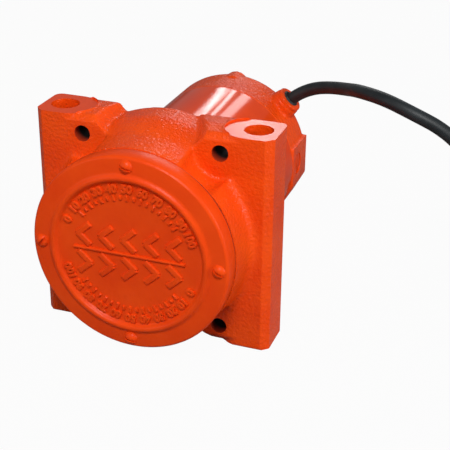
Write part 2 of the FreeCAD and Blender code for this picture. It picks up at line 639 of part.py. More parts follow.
def pole_neck(grow, front, back):
    """Upright block that makes the two pole necks, or the room round them."""
    half = POLE_NECK / 2 + grow
    return block((-half, front, -SHELL_RADIUS), (half, back, SHELL_RADIUS))


def stator_core():
    """Two-pole lamination stack: yoke, necks above and below, and arched pole shoes."""
    bore = ARMATURE_RADIUS + AIR_GAP
    yoke = ring(SHELL_BORE - FIT, SHELL_BORE - YOKE_THICKNESS, STACK_FRONT, STACK_BACK)
    necks = disc(SHELL_BORE - 1, STACK_FRONT, STACK_BACK).common(
        pole_neck(0, STACK_FRONT, STACK_BACK))
    shoes = ring(bore + SHOE_THICKNESS, bore, STACK_FRONT, STACK_BACK)
    reach = 2 * SHELL_RADIUS
    lean = math.tan(math.radians(POLE_SHOE_ANGLE))
    for side in (1, -1):
        wedge = [Vector(0, STACK_FRONT - 1, 0),
                 Vector(side * reach, STACK_FRONT - 1, reach / lean),
                 Vector(side * reach, STACK_FRONT - 1, -reach / lean)]
        face = Part.Face(Part.makePolygon(wedge + wedge[:1]))
        shoes = shoes.cut(face.extrude(Vector(0, STACK_LENGTH + 2, 0)))
    core = yoke.fuse([necks, shoes]).removeSplitter()
    cuts = [disc(bore, STACK_FRONT - 1, STACK_BACK + 1)]
    for place in through_bolt_places():
        cuts.append(bar(THROUGH_BOLT_RADIUS + SCREW_GAP, place + on_axis(STACK_FRONT - 1),
                        place + on_axis(STACK_BACK + 1)))
        slot = block((-THROUGH_BOLT_RADIUS - SCREW_GAP, STACK_FRONT - 1, 0),
                     (THROUGH_BOLT_RADIUS + SCREW_GAP, STACK_BACK + 1, SHELL_RADIUS - THROUGH_BOLT_CIRCLE))
        slot.translate(place)
        if place.z < 0:
            slot.rotate(place, Y_AXIS, 180)
        cuts.append(slot)
    return core.cut(cuts)


def field_coils():
    """A coil wound round each pole neck, between the shoe and the yoke."""
    inner = ARMATURE_RADIUS + AIR_GAP + SHOE_THICKNESS + 0.3
    outer = SHELL_BORE - YOKE_THICKNESS - 0.3
    front = STACK_FRONT - 0.3
    back = STACK_BACK + 0.3
    band = ring(outer, inner, front - COIL_WALL, back + COIL_WALL)
    wound = band.common(pole_neck(COIL_WALL + 0.3, front - COIL_WALL, back + COIL_WALL))
    wound = wound.cut(pole_neck(0.3, front, back))
    return sorted(wound.Solids, key=lambda coil: coil.CenterOfMass.z)


# End bell and brush gear ----------------------------------------------------------------

def brush_side(shape, side):
    """The same piece on the right (1) or, turned half round the shaft, on the left (-1)."""
    copy = shape.copy()
    if side < 0:
        copy.rotate(Vector(), Y_AXIS, 180)
    return copy


def brush_pad():
    """Flat on the bell's side: a ledge above, and a lower flat tangent to the round."""
    front = SEAM + PAD_FRONT
    z = PAD_HALF_HEIGHT
    corner = math.hypot(PAD_OUT, z)
    touch = math.atan2(-z, PAD_OUT) - math.acos(SHELL_RADIUS / corner)
    inner = SHELL_RADIUS - BELL_WALL
    corners = [Vector(inner * 0.93, front, z), Vector(PAD_OUT, front, z), Vector(PAD_OUT, front, -z),
               Vector(SHELL_RADIUS * math.cos(touch), front, SHELL_RADIUS * math.sin(touch)),
               Vector(inner * math.cos(touch), front, inner * math.sin(touch))]
    face = Part.Face(Part.makePolygon(corners + corners[:1]))
    return face.extrude(Vector(0, PAD_LENGTH, 0))


def gland_point(distance):
    """Point on the gland's axis, at a distance from the shaft."""
    return on_axis(GLAND_STATION) + GLAND_OUT * distance


def end_bell():
    """Cast end bell: rear bearing pocket, brush pads and bosses, bolt and cord bosses."""
    outer = disc(SHELL_RADIUS, SEAM, BELL_BACK)
    rim = [edge for edge in outer.Edges
           if len(edge.Vertexes) == 1 and abs(edge.CenterOfMass.y - BELL_BACK) < 1]
    outer = outer.makeFillet(BELL_ROUND, rim)
    hollow = disc(SHELL_RADIUS - BELL_WALL, SEAM - 1, BELL_BACK - BELL_WALL)
    rim = [edge for edge in hollow.Edges
           if len(edge.Vertexes) == 1 and abs(edge.CenterOfMass.y - BELL_BACK + BELL_WALL) < 1]
    hollow = hollow.makeFillet(BELL_ROUND - BELL_WALL / 2, rim)
    pocket = REAR_BEARING["outer"] / 2
    inside = disc(pocket + BEARING_POCKET_WALL, REAR_BEARING_FRONT, BELL_BACK - BELL_WALL / 2)
    brush_boss = bar(BRUSH_BOSS_RADIUS, Vector(SHELL_RADIUS - 17, BRUSH_STATION, 0),
                     Vector(SHELL_RADIUS - 1, BRUSH_STATION, 0))
    gland_boss = Part.makeCone(GLAND_BOSS_BASE, GLAND_BOSS_TIP, GLAND_SHANK_LENGTH + 2,
                               gland_point(GLAND_BOSS_REACH - GLAND_SHANK_LENGTH - 2), GLAND_OUT)
    bosses = [brush_side(brush_pad(), side) for side in (1, -1)]
    for place in through_bolt_places():
        bosses.append(bar(BOLT_BOSS_RADIUS, place + on_axis(BELL_BACK - BOLT_BOSS_LENGTH),
                          place + on_axis(BELL_BACK - 1.5)))
    body = outer.fuse(bosses + [gland_boss]).cut(hollow)
    columns = [inside, brush_side(brush_boss, 1), brush_side(brush_boss, -1)]
    limit = disc(SHELL_RADIUS - 1, SEAM, BELL_BACK - 1)
    for place in through_bolt_places():
        column = bar(THROUGH_BOLT_RADIUS + 3.5, place + on_axis(SEAM), place + on_axis(BELL_BACK - 3))
        columns.append(column.common(limit))
    gland_inside = bar(GLAND_BOSS_BASE, gland_point(GLAND_BOSS_REACH - GLAND_SHANK_LENGTH - 1),
                       gland_point(SHELL_RADIUS - 1))
    columns.append(gland_inside.common(limit))
    columns.append(ring(SHELL_BORE - FIT, SHELL_BORE - SPIGOT_WALL, SEAM - SPIGOT_LENGTH, SEAM + 1))
    rear_boss = disc(pocket + BEARING_POCKET_WALL, BELL_BACK - BELL_WALL / 2, REAR_BOSS_BACK)
    body = body.fuse(columns + [rear_boss]).removeSplitter()

    head_seat = BELL_BACK - THROUGH_BOLT_HEAD - BOLT_WASHER_THICKNESS
    cuts = [disc(pocket + FIT, REAR_BEARING_FRONT - 1, POCKET_BACK),
            disc(SHAFT_CORE_RADIUS + 2, SEAM - SPIGOT_LENGTH - 1, REAR_BEARING_FRONT)]
    hole = bar(HOLDER_RADIUS + FIT, Vector(SHELL_RADIUS - 20, BRUSH_STATION, 0),
               Vector(SHELL_RADIUS + 5, BRUSH_STATION, 0))
    cuts += [brush_side(hole, 1), brush_side(hole, -1)]
    for place in through_bolt_places():
        cuts.append(bar(THROUGH_BOLT_RADIUS + SCREW_GAP, place + on_axis(SEAM - SPIGOT_LENGTH - 1),
                        place + on_axis(BELL_BACK)))
        cuts.append(bar(BOLT_WASHER_RADIUS + SCREW_GAP, place + on_axis(head_seat),
                        place + on_axis(BELL_BACK + 1)))
    cuts.append(bar(GLAND_SHANK + FIT, gland_point(GLAND_BOSS_REACH - GLAND_SHANK_LENGTH - 6),
                    gland_point(GLAND_BOSS_REACH + 1)))
    return body.cut(cuts)


def through_bolts():
    bolts = []
    head_seat = BELL_BACK - THROUGH_BOLT_HEAD
    tip = PLATE_BACK + SPIGOT_LENGTH - THROUGH_BOLT_GRIP
    for place in through_bolt_places():
        shank = bar(THROUGH_BOLT_RADIUS, place + on_axis(tip), place + on_axis(head_seat))
        head = hexagon(THROUGH_BOLT_FLATS, THROUGH_BOLT_HEAD, place + on_axis(head_seat), Y_AXIS)
        bolts.append(shank.fuse(head))
    return bolts


def through_bolt_washers():
    seat = BELL_BACK - THROUGH_BOLT_HEAD - BOLT_WASHER_THICKNESS
    washer = ring(BOLT_WASHER_RADIUS, THROUGH_BOLT_RADIUS + SCREW_GAP, seat, seat + BOLT_WASHER_THICKNESS)
    washers = []
    for place in through_bolt_places():
        copy = washer.copy()
        copy.translate(place)
        washers.append(copy)
    return washers


def wave_washer():
    """Spring washer that loads the rear bearing, drawn flat at its working height."""
    pocket = REAR_BEARING["outer"] / 2
    return ring(pocket - 0.3, pocket - 4, REAR_BEARING_BACK, POCKET_BACK)


def brush_room(grow, inner, outer):
    """Square-cornered space or body along a brush, centred on the brush line."""
    return block((inner, BRUSH_STATION - BRUSH_DEPTH / 2 - grow, -BRUSH_WIDTH / 2 - grow),
                 (outer, BRUSH_STATION + BRUSH_DEPTH / 2 + grow, BRUSH_WIDTH / 2 + grow))


def brush_holder():
    """Insulating tube that guides one brush."""
    inner = COMMUTATOR_RADIUS + HOLDER_STAND_OFF
    tube = bar(HOLDER_RADIUS, Vector(inner, BRUSH_STATION, 0), Vector(CAP_BASE, BRUSH_STATION, 0))
    return tube.cut(brush_room(RUNNING, inner - 1, CAP_BASE + 1))


def brush():
    """Carbon brush whose end is worn to the commutator's curve."""
    start = COMMUTATOR_RADIUS + RUNNING
    body = brush_room(0, COMMUTATOR_RADIUS - 2, start + BRUSH_LENGTH)
    return body.cut(disc(start, BRUSH_STATION - BRUSH_DEPTH, BRUSH_STATION + BRUSH_DEPTH))


def brush_spring():
    """Coil spring between the brush and its cap, bent in short straight steps."""
    start = COMMUTATOR_RADIUS + RUNNING + BRUSH_LENGTH + SPRING_WIRE / 2
    length = CAP_BASE - SPRING_WIRE / 2 - start
    points = []
    for step in range(SPRING_TURNS * SPRING_STEPS + 1):
        turn = 2 * math.pi * step / SPRING_STEPS
        along = length * step / (SPRING_TURNS * SPRING_STEPS)
        points.append(Vector(start + along, BRUSH_STATION + SPRING_RADIUS * math.cos(turn),
                             SPRING_RADIUS * math.sin(turn)))
    profile = Part.Wire(Part.makeCircle(SPRING_WIRE / 2, points[0], points[1] - points[0]))
    return Part.makePolygon(points).makePipeShell([profile], True, False, 1)


def brush_cap():
    """Slotted cap screwed in behind the spring."""
    face = CAP_BASE + CAP_LENGTH
    cap = bar(HOLDER_RADIUS, Vector(CAP_BASE, BRUSH_STATION, 0), Vector(face, BRUSH_STATION, 0))
    slot = block((face - 1.6, BRUSH_STATION - HOLDER_RADIUS - 1, -0.9),
                 (face + 1, BRUSH_STATION + HOLDER_RADIUS + 1, 0.9))
    return cap.cut(slot)


# Cord and plug --------------------------------------------------------------------------

def cord_gland():
    """Threaded bushing with a round rim."""
    shank = bar(GLAND_SHANK, gland_point(GLAND_BOSS_REACH - GLAND_SHANK_LENGTH),
                gland_point(GLAND_BOSS_REACH))
    rim = bar(GLAND_RIM, gland_point(GLAND_BOSS_REACH), gland_point(GLAND_BOSS_REACH + GLAND_RIM_WIDTH))
    edge = [item for item in rim.Edges
            if len(item.Vertexes) == 1 and (item.CenterOfMass - gland_point(0)).Length > GLAND_BOSS_REACH + 1]
    rim = rim.makeFillet(1.0, edge)
    bore = bar(CORD_RADIUS + GROMMET_WALL + FIT, gland_point(GLAND_BOSS_REACH - GLAND_SHANK_LENGTH - 1),
               gland_point(GLAND_BOSS_REACH + GLAND_RIM_WIDTH + 1))
    return shank.fuse(rim).removeSplitter().cut(bore)


def cord_grommet():
    """Rubber bushing that grips the cord in the gland."""
    start = gland_point(GLAND_BOSS_REACH - GLAND_SHANK_LENGTH)
    straight = GLAND_SHANK_LENGTH + GLAND_RIM_WIDTH
    outer = CORD_RADIUS + GROMMET_WALL
    sleeve = Part.makeCylinder(outer, straight, start, GLAND_OUT)
    lip = Part.makeCone(outer, outer - GROMMET_WALL / 2, GROMMET_PROUD, start + GLAND_OUT * straight,
                        GLAND_OUT)
    bore = Part.makeCylinder(CORD_RADIUS + FIT, straight + GROMMET_PROUD + 2, start - GLAND_OUT,
                             GLAND_OUT)
    return sleeve.fuse(lip).cut(bore)


def cord_tube(points):
    """Straight runs joined by tangent arcs, as large as the runs allow."""
    edges = []
    start = points[0]
    length = 0
    for before, corner, after in zip(points, points[1:], points[2:]):
        back, ahead = before - corner, after - corner
        run = min(back.Length, ahead.Length) * 0.45
        half_turn = (math.pi - back.getAngle(ahead)) / 2
        radius = run / math.tan(half_turn)
        back.normalize()
        ahead.normalize()
        first, last = corner + back * run, corner + ahead * run
        inward = (back + ahead).normalize()
        middle = corner + inward * (radius / math.cos(half_turn) - radius)
        edges += [Part.LineSegment(start, first).toShape(), Part.Arc(first, middle, last).toShape()]
        length += start.distanceToPoint(first) + radius * 2 * half_turn
        start = last
        print("cord bend radius %.1f mm" % radius)
    edges.append(Part.LineSegment(start, points[-1]).toShape())
    length += start.distanceToPoint(points[-1])
    path = Part.Wire(edges)
    profile = Part.Wire(Part.makeCircle(CORD_RADIUS, points[0], points[1] - points[0]))
    tube = path.makePipeShell([profile], True, False)
    print("cord tube: length %.1f mm, volume / (section x length) = %.4f"
          % (length, tube.Volume / (math.pi * CORD_RADIUS ** 2 * length)))
    return tube


def coil_side():
    """Where the cord meets and leaves the coil, on its side nearest the motor."""
    outer_turn = COIL_RADIUS + CORD_RADIUS
    return Vector(COIL_CENTRE[0] - outer_turn, COIL_CENTRE[1], CORD_RADIUS - FOOT)


def power_cord():
    start = gland_point(GLAND_BOSS_REACH - GLAND_SHANK_LENGTH + 4)
    points = [start] + [Vector(x, y, z - FOOT) for x, y, z in CORD_ROUTE] + [coil_side()]
    return cord_tube(points)


def cord_coil():
    """Outer shape of the spare cord, wound in two layers of two turns."""
    half = CORD_RADIUS * 2
    height = 2 * CORD_RADIUS * COIL_LAYERS
    centre = Vector(COIL_CENTRE[0], COIL_CENTRE[1], -FOOT)
    solid = Part.makeCylinder(COIL_RADIUS + half, height, centre)
    return solid.cut(Part.makeCylinder(COIL_RADIUS - half, height, centre))


def tail_point(distance):
    """Point along the cord's straight end, which leaves the coil level with the plug."""
    return coil_side() + Vector(0, distance, PLUG_RADIUS - CORD_RADIUS)


def cord_tail():
    return bar(CORD_RADIUS, tail_point(0), tail_point(TAIL_LENGTH))


def plug_body():
    """Moulded three-pin plug with a stepped neck."""
    start = tail_point(TAIL_LENGTH)
    middle = start + on_axis(PLUG_NECK_LENGTH)
    neck = Part.makeCone(CORD_RADIUS + 1, PLUG_NECK, PLUG_NECK_LENGTH, start, Y_AXIS)
    body = bar(PLUG_RADIUS, middle, middle + on_axis(PLUG_LENGTH))
    body = body.makeFillet(2.5, [edge for edge in body.Edges if len(edge.Vertexes) == 1])
    plug = neck.fuse(body).removeSplitter()
    return plug.cut(plug_blades() + [plug_earth_pin()])


def plug_face():
    return tail_point(TAIL_LENGTH + PLUG_NECK_LENGTH + PLUG_LENGTH)


def plug_blades():
    blades = []
    for side in (-1, 1):
        middle = plug_face() + Vector(side * BLADE_SPACING / 2, 0, 3)
        low = middle - Vector(BLADE_THICKNESS / 2, 8, BLADE_HEIGHT / 2)
        high = middle + Vector(BLADE_THICKNESS / 2, BLADE_LENGTH, BLADE_HEIGHT / 2)
        blades.append(block(tuple(low), tuple(high)))
    return blades


def plug_earth_pin():
    middle = plug_face() + Vector(0, 0, 3 - EARTH_PIN_DROP)
    return bar(EARTH_PIN_RADIUS, middle - on_axis(8), middle + on_axis(EARTH_PIN_LENGTH))


os.makedirs("parts", exist_ok=True)
export("housing", housing())
export("cover", cover())
export("cover_gasket", cover_gasket())
export("cover_screws", *cover_screws())
export("bearing_retainer", bearing_retainer())
export("retainer_screws", *retainer_screws())
export("shaft_seal", shaft_seal())
bearing("front_bearing", FRONT_BEARING, BEARING_FRONT)
bearing("rear_bearing", REAR_BEARING, REAR_BEARING_FRONT)
export("rotor_shaft", rotor_shaft())
export("weight_key", key_box(0))
export("eccentric_weight", eccentric_weight())
export("weight_washer", weight_washer())
export("weight_bolt", weight_bolt())
export("spacer_sleeve", spacer_sleeve())
export("armature_core", armature_core())
export("armature_winding", armature_winding())
export("commutator", commutator())
export("motor_shell", motor_shell())
export("stator_core", stator_core())
export("field_coils", *field_coils())
export("end_bell", end_bell())
export("through_bolts", *through_bolts())
export("through_bolt_washers", *through_bolt_washers())
export("wave_washer", wave_washer())
export("brush_holders", brush_holder(), brush_side(brush_holder(), -1))
export("right_brush", brush())
export("left_brush", brush_side(brush(), -1))
export("right_brush_spring", brush_spring())
export("left_brush_spring", brush_side(brush_spring(), -1))
export("brush_caps", brush_cap(), brush_side(brush_cap(), -1))
export("cord_gland", cord_gland())
export("cord_grommet", cord_grommet())
export("power_cord", power_cord())
export("cord_coil", cord_coil())
export("cord_tail", cord_tail())
export("plug_body", plug_body())
export("plug_blades", *plug_blades())
export("plug_earth_pin", plug_earth_pin())
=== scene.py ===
import math

import bpy
from mathutils import Euler, Matrix, Vector


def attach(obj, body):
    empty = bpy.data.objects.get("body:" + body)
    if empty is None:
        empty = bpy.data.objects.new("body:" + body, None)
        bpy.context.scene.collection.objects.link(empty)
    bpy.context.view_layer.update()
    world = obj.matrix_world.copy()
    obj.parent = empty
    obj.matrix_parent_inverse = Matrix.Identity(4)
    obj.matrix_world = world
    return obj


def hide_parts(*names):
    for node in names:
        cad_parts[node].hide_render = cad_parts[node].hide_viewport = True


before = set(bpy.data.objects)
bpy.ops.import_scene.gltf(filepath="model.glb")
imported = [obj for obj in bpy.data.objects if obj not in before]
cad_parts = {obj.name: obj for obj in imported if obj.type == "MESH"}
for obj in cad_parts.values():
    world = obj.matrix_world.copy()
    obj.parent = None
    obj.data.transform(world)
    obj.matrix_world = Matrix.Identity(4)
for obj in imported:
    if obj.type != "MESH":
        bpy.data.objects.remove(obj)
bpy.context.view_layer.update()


# Camera -----------------------------------------------------------------------------------
# A short telephoto view from above and to the right of the cover. Pieces are sized in
# millimetres below and stand where the solids do, with the shaft 76 mm over the foot.
MM = 0.001
CAMERA_AZIMUTH, CAMERA_ELEVATION, CAMERA_ROLL = 19.548, 26.073, 0.573

bpy.ops.object.camera_add(location=(0.26957, -0.63127, 0.40844))
camera = bpy.context.object
look = Euler((math.radians(90 - CAMERA_ELEVATION), 0, math.radians(CAMERA_AZIMUTH))).to_matrix()
camera.rotation_euler = (look @ Matrix.Rotation(math.radians(CAMERA_ROLL), 3, "Z")).to_euler()
camera.data.lens = 90.36
camera.data.sensor_width = 36
bpy.context.scene.camera = camera


# Power cord -------------------------------------------------------------------------------
# A 9.4 mm rubber-jacketed three-core cord. It leaves the gland, arches out and down to the
# floor, and its spare length is wound there in two layers of two turns, with the plug last.
CORD_RADIUS = 4.7
CORD_ROUTE = (
    (39.6, 141.0, 114.9), (49.6, 141.0, 124.7), (64.6, 138.4, 133.3), (80.5, 131.4, 138.0),
    (96.5, 116.3, 143.3), (108.6, 91.0, 152.2), (130.4, 74.2, 154.8), (152.3, 66.4, 149.8),
    (172.6, 66.4, 141.6), (190.1, 66.5, 127.2), (206.5, 59.0, 114.6), (219.2, 55.9, 94.3),
    (224.0, 59.1, 69.8), (216.8, 66.2, 46.0), (201.5, 79.2, 28.0), (194.0, 97.4, 11.5),
    (188.0, 118.5, 4.7),
)
COIL_CENTRE = (252.0, 140.0)
COIL_STEPS = 24              # points in a turn
FLOOR_LAYER, TOP_LAYER = 4.7, 14.1
LANES = (66.1, 56.7, 47.3)   # radii of the lead-in, the outer turns and the inner turns
# Each turn starts in the lane of the one before it, and moves over once that has made room
COIL_TURNS = (
    (LANES[0], LANES[1], FLOOR_LAYER, FLOOR_LAYER, 0.20),
    (LANES[1], LANES[2], FLOOR_LAYER, FLOOR_LAYER, 0.14),
    (LANES[2], LANES[2], FLOOR_LAYER, TOP_LAYER, 0.08),
    (LANES[2], LANES[1], TOP_LAYER, TOP_LAYER, 0.02),
)
SHIFT_SHARE = 0.15           # share of a turn in which it moves over
TAIL = ((195.3, 140.0, 14.1), (195.3, 155.0, 14.1), (195.3, 170.0, 14.1), (195.3, 186.0, 14.1))


def linear(colour):
    """sRGB hex to the shader's linear colour."""
    values = [int(colour[i:i + 2], 16) / 255 for i in (1, 3, 5)]
    return tuple(v / 12.92 if v <= 0.04045 else ((v + 0.055) / 1.055) ** 2.4 for v in values) + (1,)


def feed(material, node, **links):
    """Links a node's input sockets, by name or numbered as i0, to the nodes or sockets before it."""
    for name, source in links.items():
        numbered = name[0] == "i" and name[1:].isdigit()
        socket = node.inputs[int(name[1:]) if numbered else name.replace("_", " ")]
        output = source if isinstance(source, bpy.types.NodeSocket) else source.outputs[0]
        material.node_tree.links.new(output, socket)


def add(material, kind, settings=None, **links):
    """A node with its settings and links. A ramp's stops are pairs of a place and a colour."""
    new = material.node_tree.nodes.new(kind)
    for name, value in (settings or {}).items():
        if name == "stops":
            for element, (stop, colour) in zip(new.color_ramp.elements, value):
                element.position, element.color = stop, linear(colour)
        elif hasattr(new, str(name)):
            setattr(new, name, value)
        else:
            new.inputs[name].default_value = value
    feed(material, new, **links)
    return new


def finish_of(name, **settings):
    """A new material with one Principled shader, its steady values set on the shader's own sockets."""
    material = bpy.data.materials.new(name)
    material.use_nodes = True
    shader = material.node_tree.nodes["Principled BSDF"]
    for socket, value in settings.items():
        shader.inputs[socket.replace("_", " ")].default_value = value
    return material, shader


# Extruded thermoset jacket: dull black rubber with a faint drag grain and dusty paler patches
jacket, shader = finish_of("rubber_jacket", Roughness=0.5, IOR=1.45)
place = add(jacket, "ShaderNodeTexCoord").outputs["Object"]
dust = add(jacket, "ShaderNodeTexNoise", {"Scale": 1 / (14 * MM), "Detail": 4.0, "Roughness": 0.6},
           Vector=place)
shade = add(jacket, "ShaderNodeValToRGB", {"stops": ((0.35, "#11171a"), (0.7, "#202629"))}, Fac=dust)
grain = add(jacket, "ShaderNodeTexNoise", {"Scale": 1 / (0.7 * MM), "Detail": 2.0}, Vector=place)
bump = add(jacket, "ShaderNodeBump", {"Strength": 0.35, "Distance": 0.12 * MM}, Height=grain)
feed(jacket, shader, Base_Color=shade, Normal=bump)

centreline = [Vector(point) for point in CORD_ROUTE]
reach = 1 / math.cos(math.pi / COIL_STEPS)
for start, end, low, high, moves_at in COIL_TURNS:
    for step in range(COIL_STEPS):
        share = min(max((step / COIL_STEPS - moves_at) / SHIFT_SHARE, 0), 1)
        share = share * share * (3 - 2 * share)
        radius = (start + (end - start) * share) * reach
        angle = math.pi - 2 * math.pi * step / COIL_STEPS
        centreline.append(Vector((COIL_CENTRE[0] + radius * math.cos(angle),
                                  COIL_CENTRE[1] + radius * math.sin(angle),
                                  low + (high - low) * share)))
centreline += [Vector(point) for point in TAIL]

bpy.ops.object.select_all(action="DESELECT")
bpy.ops.curve.primitive_nurbs_path_add()
cord = bpy.context.object
cord.name = cord.data.name = "cord"
cord.data.splines.clear()
spline = cord.data.splines.new("NURBS")
spline.points.add(len(centreline) - 1)
for point, position in zip(spline.points, centreline):
    point.co = (*(position * MM), 1)
spline.order_u = 3
spline.use_endpoint_u = True
spline.resolution_u = 6
cord.data.dimensions = "3D"
cord.data.bevel_depth = CORD_RADIUS * MM
cord.data.bevel_resolution = 8
cord.data.use_fill_caps = True
cord.data.materials.append(jacket)
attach(cord, "frame")
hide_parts("power_cord", "cord_coil", "cord_tail")


# Housing ----------------------------------------------------------------------------------
# Grey iron sand casting: a drafted nose with the weight chamber, and an upright plate whose
# four lugs end in bolt pads. Pads, bores and bearing seat are machined before it is enamelled.
AXIS = 76.0                  # height of the shaft
PLATE_HALF, PLATE_TOP, PLATE_DEPTH = 82.0, 152.0, 17.0
PAD_RAISE, PAD_SUNK, PAD_NOSE, PAD_CENTRE = 0.6, 1.2, 17.0, 62.5
CORNER = 5.0
DRAFT, DRAFT_REACH = math.tan(math.radians(5)), 40.0
LUG_INNER, VALLEY_DEPTH, VALLEY_LEAN = 40.9, 9.8, math.tan(math.radians(43))
VALLEY_BACK, VALLEY_BACK_SHARE, RIGHT_SHARE = 20.0, 0.86, 0.57   # width kept at the back
VALLEY_FILLET, SCALLOP_FILLET = 3.0, 2.0
NOSE_RADIUS, NOSE_FRONT, NOSE_SPREAD = 67.5, -40.7, math.tan(math.radians(7))
SCALLOP_RADIUS = 18.0
LUG_BAND = 52.0              # height from the shaft past which the nose runs into the lugs
ROOT_PASSES, SADDLE_PASSES = 6, 12
FACE_HOLES = [(x, AXIS + z) for x in (-47.625, 47.625) for z in (-62.5, 62.5)]
FACE_HOLE, FOOT_BORE, FOOT_BORE_X = 5.55, 9.525, 67.5
DRIFT = 8.0                  # how far enamel drifted into the face holes
SCREW_CIRCLE, SCREW_TAP, SCREW_DEPTH = 61.0, 2.42, 13.0
RETAINER_CIRCLE, RETAINER_TAP = 41.5, 2.52
BOLT_CIRCLE, BOLT_TAP = 49.0, 3.02
SPIGOT_RADIUS, SPIGOT_BORE, SPIGOT_BACK = 53.13, 47.15, 22.0
CHAMBER = ((52.0, -60.0), (52.0, -8.0), (47.02, -8.0), (47.02, -4.0), (36.02, -4.0), (36.02, 15.0),
           (31.0, 15.0), (31.0, 30.0))
MACHINING = 4.0              # stock left on the faces that are machined
GRIT = 1.0                   # edge of the remeshed casting's faces


def clear():
    """Object mode with nothing selected."""
    if bpy.context.mode != "OBJECT":
        bpy.ops.object.mode_set(mode="OBJECT")
    bpy.ops.object.select_all(action="DESELECT")


def pick(piece):
    """Only this piece selected and active."""
    clear()
    piece.select_set(True)
    bpy.context.view_layer.objects.active = piece


def named(name):
    """The new primitive as a piece, with its place in its mesh."""
    bpy.ops.object.transform_apply(location=True, rotation=True, scale=True)
    piece = bpy.context.object
    piece.name = piece.data.name = name
    return piece


def block(low, high, name="cutter"):
    clear()
    bpy.ops.mesh.primitive_cube_add(size=1, location=[(a + b) / 2 * MM for a, b in zip(low, high)],
                                    scale=[(b - a) * MM for a, b in zip(low, high)])
    return named(name)


def rod(radius, start, end, tip=None, name="cutter", sides=96):
    """Round bar between two points, or a cone where the tip has its own radius."""
    clear()
    along = Vector(end) - Vector(start)
    middle = (Vector(end) + Vector(start)) / 2
    bpy.ops.mesh.primitive_cone_add(vertices=sides, radius1=radius * MM, depth=along.length * MM,
                                    radius2=(radius if tip is None else tip) * MM,
                                    location=middle * MM, rotation=along.to_track_quat("Z", "Y").to_euler())
    return named(name)


def turned(profile, name="cutter", sides=192, closed=False):
    """A ring of vertices extruded and scaled through (radius, y) stations about the shaft."""
    clear()
    radius, y = profile[0]
    bpy.ops.mesh.primitive_circle_add(vertices=sides, radius=radius * MM, fill_type="NOTHING",
                                      location=(0, y * MM, AXIS * MM), rotation=(math.pi / 2, 0, 0))
    piece = named(name)
    bpy.ops.object.mode_set(mode="EDIT")
    bpy.ops.mesh.select_all(action="SELECT")
    if not closed:
        bpy.ops.mesh.edge_face_add()
    for new_radius, new_y in profile[1:] + (profile[:1] if closed else ()):
        bpy.ops.mesh.extrude_region_move(TRANSFORM_OT_translate={"value": (0, (new_y - y) * MM, 0)})
        bpy.ops.transform.resize(value=(new_radius / radius, 1, new_radius / radius),
                                 center_override=(0, new_y * MM, AXIS * MM))
        radius, y = new_radius, new_y
    bpy.ops.mesh.select_all(action="SELECT")
    bpy.ops.mesh.remove_doubles(threshold=0.001 * MM)
    bpy.ops.mesh.normals_make_consistent(inside=False)
    bpy.ops.object.mode_set(mode="OBJECT")
    return piece


def round_shaft(radius, degrees):
    """The x and z of a point on a circle about the shaft, clockwise from the top."""
    turn = math.radians(degrees)
    return radius * math.sin(turn), AXIS + radius * math.cos(turn)


def edit_edges(piece, chosen):
    """Edit mode with the edges selected whose two ends satisfy a test on x, y and z."""
    pick(piece)
    bpy.ops.object.mode_set(mode="EDIT")
    bpy.ops.mesh.select_mode(type="EDGE")
    bpy.ops.mesh.select_all(action="DESELECT")
    bpy.ops.object.mode_set(mode="OBJECT")
    for edge in piece.data.edges:
        edge.select = all(chosen(*(piece.data.vertices[v].co / MM)) for v in edge.vertices)
    bpy.ops.object.mode_set(mode="EDIT")


def bevel(piece, width, segments, chosen):
    edit_edges(piece, chosen)
    bpy.ops.mesh.bevel(offset=width * MM, segments=segments, affect="EDGES")
    bpy.ops.object.mode_set(mode="OBJECT")
    return piece


def modify(piece, kind, **settings):
    """Add a modifier and apply it."""
    pick(piece)
    bpy.ops.object.modifier_add(type=kind)
    for name, value in settings.items():
        setattr(piece.modifiers[-1], name, value)
    bpy.ops.object.modifier_apply(modifier=piece.modifiers[-1].name)


def join(piece, tools, operation="UNION"):
    """Boolean each tool into the piece, then discard it."""
    for tool in tools:
        modify(piece, "BOOLEAN", operation=operation, object=tool, solver="MANIFOLD")
        bpy.data.objects.remove(tool)
    return piece


def cut(piece, tools):
    return join(piece, tools, "DIFFERENCE")


def cast(piece, grit, passes):
    """Skin of a sand casting: even small faces, then rounded edges and filled corners."""
    modify(piece, "REMESH", mode="VOXEL", voxel_size=grit * MM)
    modify(piece, "SMOOTH", iterations=passes, factor=0.5)
    return piece


def finish_piece(piece, body, materials, replaces=(), angle=32):
    """Smooth shading, materials, body and the solids that the piece stands for."""
    pick(piece)
    bpy.ops.object.shade_smooth_by_angle(angle=math.radians(angle))
    piece.data.materials.clear()
    for material in materials:
        piece.data.materials.append(material)
    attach(piece, body)
    if replaces:
        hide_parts(*replaces)


def lug_plate(low, high):
    """The plate between two heights, with chamfered front corners and rounded back corners."""
    plate = block((-PLATE_HALF, -PLATE_DEPTH, low), (PLATE_HALF, PLATE_DEPTH, high), "housing_casting")
    bevel(plate, CORNER, 1, lambda x, y, z: abs(x) > PLATE_HALF - 0.01 and y < -PLATE_DEPTH + 0.01)
    return bevel(plate, CORNER, 6, lambda x, y, z: abs(x) > PLATE_HALF - 0.01 and y > PLATE_DEPTH - 0.01)


